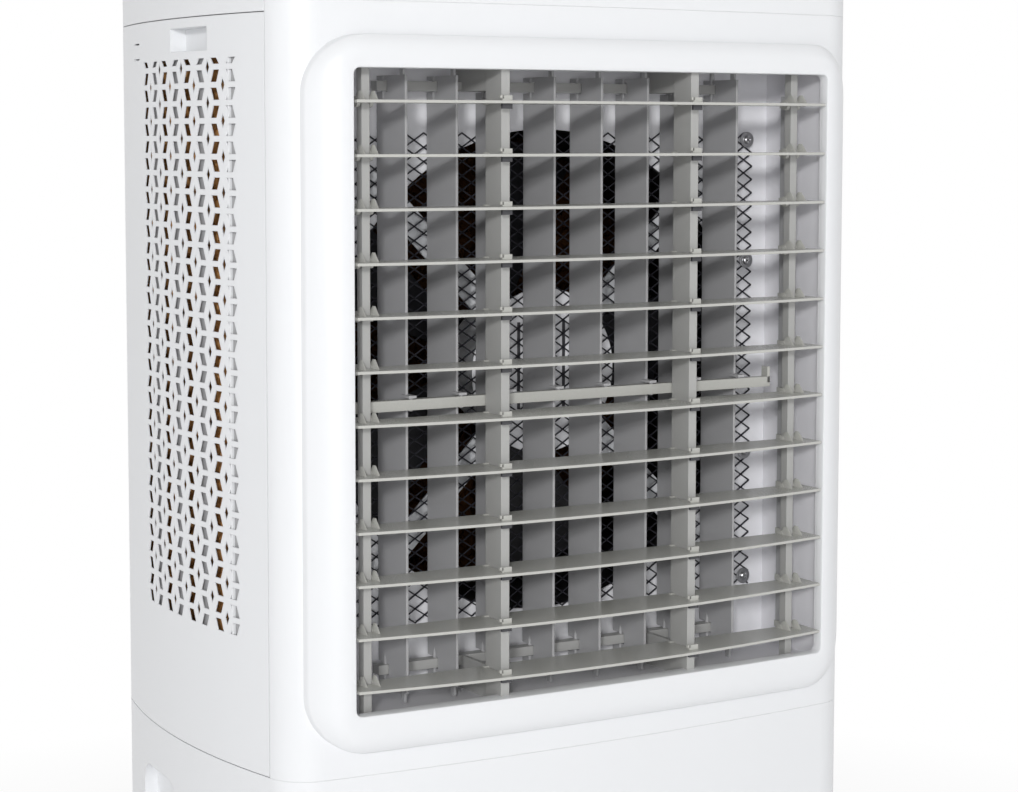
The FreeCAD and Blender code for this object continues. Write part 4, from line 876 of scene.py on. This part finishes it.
def makeButtonMarks():
    # as many dots in front of each button as its number
    marks = []
    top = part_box("control_panel")[1].z
    for number in range(1, 5):
        low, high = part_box("button_%d" % number)
        first = (low.x + high.x) / 2 - (number - 1) / 2 * buttonDots["spacing"]
        marks.extend((first + step * buttonDots["spacing"], low.y - buttonDots["before"], top)
                     for step in range(number))
    growStrips("buttonMarks", buttonDots["size"], "lit_segment", "housing", marks)


makeDisplay()
makeButtonMarks()
print("display made")


# caps on the wheels, thread on the inlet and ribs on the drain cap

def discTree():
    tree, given, result = openGroup("discs", "GeometryNodeTree", [
        ("Geometry", "NodeSocketGeometry", None),
        ("Radius", "NodeSocketFloat", 0.01),
        ("Length", "NodeSocketFloat", 0.001),
        ("Turn", "NodeSocketVector", (0.0, 0.0, 0.0)),
        ("Material", "NodeSocketMaterial", None),
    ], [("Geometry", "NodeSocketGeometry")])
    g = given.outputs
    disc = rod(tree, g["Radius"], g["Length"], (0.0, 0.0, 0.0), g["Turn"], 32)
    spreadTree(tree, given, result, gather(tree, [disc], g["Material"]))
    return tree


discs = discTree()
wheelCap = {"Radius": 0.0165, "Length": 0.0012, "Turn": acrossX}
threadRing = {"Radius": 0.0104, "Length": 0.0008, "Turn": acrossY}
inletStub = {"x": 0.18, "z": 0.3, "endGap": 0.0012, "pitch": 0.0018, "turns": 8}
drainRib = {"size": (0.001, 0.016, 0.001), "count": 24, "inward": 0.002}


def makeWheelCaps():
    for number in range(1, 5):
        low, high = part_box("caster_wheel_%d" % number)
        middle = (low + high) / 2
        ends = [(x, middle.y, middle.z) for x in (low.x, high.x)]
        growPiece("wheelCaps%d" % number, discs, {**wheelCap, "Material": finishes["vane_grey"]},
                  "wheel_%d" % number, points=ends)


def makePortDetails():
    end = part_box("inlet_valve")[1].y - inletStub["endGap"]
    thread = [(inletStub["x"], end - turn * inletStub["pitch"], inletStub["z"])
              for turn in range(inletStub["turns"])]
    growPiece("inletThread", discs, {**threadRing, "Material": finishes["brass_inlet"]},
              "housing", points=thread)
    low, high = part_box("drain_cap")
    centre = (low + high) / 2
    radius = (high.x - low.x) / 2
    ribs = []
    for step in range(drainRib["count"]):
        angle = step * math.tau / drainRib["count"]
        ribs.append((centre.x + radius * math.cos(angle), centre.y - drainRib["inward"],
                     centre.z + radius * math.sin(angle)))
    growStrips("drainRibs", drainRib["size"], "dark_plastic", "drain", ribs)


makeWheelCaps()
makePortDetails()
print("wheel caps and ports made")


# floor, light and camera

floorLook = {"colour": (0.86, 0.86, 0.87, 1.0), "roughness": 0.75, "reach": 14.0,
             "fadeFrom": 0.45, "fadeTo": 1.3, "shareNear": 0.68, "shareFar": 1.0}
worldLight = 0.47


def seenDirectly(tree):
    # 1 for rays from the camera, in reflections and through glass
    path = place(tree, "ShaderNodeLightPath")
    seen = calc(tree, "MAXIMUM", path.outputs["Is Camera Ray"], path.outputs["Is Glossy Ray"])
    return calc(tree, "MAXIMUM", seen, path.outputs["Is Transmission Ray"])


def makeFloor():
    material, tree, shader = newMaterial("paleFloor")
    shader.inputs["Base Color"].default_value = floorLook["colour"]
    shader.inputs["Roughness"].default_value = floorLook["roughness"]
    seen = seenDirectly(tree)
    away = place(tree, "ShaderNodeVectorMath", {0: objectPlace(tree)}, operation="LENGTH").outputs["Value"]
    fade = place(tree, "ShaderNodeMapRange", {
        0: away, 1: floorLook["fadeFrom"], 2: floorLook["fadeTo"],
        3: floorLook["shareNear"], 4: floorLook["shareFar"],
    }).outputs[0]
    share = calc(tree, "MULTIPLY", seen, fade)
    glow = place(tree, "ShaderNodeEmission", {"Color": (1.0, 1.0, 1.0, 1.0), "Strength": 1.0})
    mix = place(tree, "ShaderNodeMixShader", {0: share, 1: shader.outputs[0], 2: glow.outputs[0]})
    tree.links.new(mix.outputs[0], tree.nodes["Material Output"].inputs["Surface"])
    mesh = bpy.data.meshes.new("floor")
    reach = floorLook["reach"]
    corners = [(-reach, -reach, 0), (reach, -reach, 0), (reach, reach, 0), (-reach, reach, 0)]
    mesh.from_pydata(corners, [], [(0, 1, 2, 3)])
    mesh.materials.append(material)
    floor = bpy.data.objects.new("floor", mesh)
    scene.collection.objects.link(floor)


def makeWorld(strength):
    world = bpy.data.worlds.new("studio")
    world.use_nodes = True
    scene.world = world
    tree = world.node_tree
    level = calc(tree, "MULTIPLY_ADD", seenDirectly(tree), 1.0 - strength, strength)
    back = tree.nodes["Background"]
    back.inputs["Color"].default_value = (1.0, 1.0, 1.0, 1.0)
    tree.links.new(level, back.inputs["Strength"])


lampAim = (0.0, 0.0, 0.6)
lamps = {
    "key": {"at": (-4.2, -5.8, 2.35), "size": 0.7, "power": 218.0},
    "low": {"at": (-2.1, -4.2, 0.8), "size": 0.9, "power": 30.0},
    "fill": {"at": (2.6, -2.6, 1.2), "size": 2.4, "power": 8.0},
    "top": {"at": (0.3, 0.9, 3.4), "size": 2.2, "power": 18.0},
}


def makeLamps():
    for name, lamp in lamps.items():
        data = bpy.data.lights.new(name, "AREA")
        data.size = lamp["size"]
        data.energy = lamp["power"]
        light = bpy.data.objects.new(name, data)
        light.location = lamp["at"]
        aim = Vector(lampAim) - Vector(lamp["at"])
        light.rotation_euler = aim.to_track_quat("-Z", "Y").to_euler()
        scene.collection.objects.link(light)


viewpoint = {"at": (-1.1937, -2.0243, 0.9254), "yaw": 30.095, "pitch": 4.685, "lens": 81.25,
             "sensor": 36.0, "shift": (0.0301, -0.07)}


def makeCamera():
    data = bpy.data.cameras.new("camera")
    data.lens = viewpoint["lens"]
    data.sensor_width = viewpoint["sensor"]
    data.shift_x, data.shift_y = viewpoint["shift"]
    data.clip_start = 0.05
    camera = bpy.data.objects.new("camera", data)
    camera.location = viewpoint["at"]
    camera.rotation_euler = (math.radians(90.0 - viewpoint["pitch"]), 0.0, math.radians(-viewpoint["yaw"]))
    scene.collection.objects.link(camera)
    scene.camera = camera


makeFloor()
makeWorld(worldLight)
makeLamps()
makeCamera()
print("stage ready")
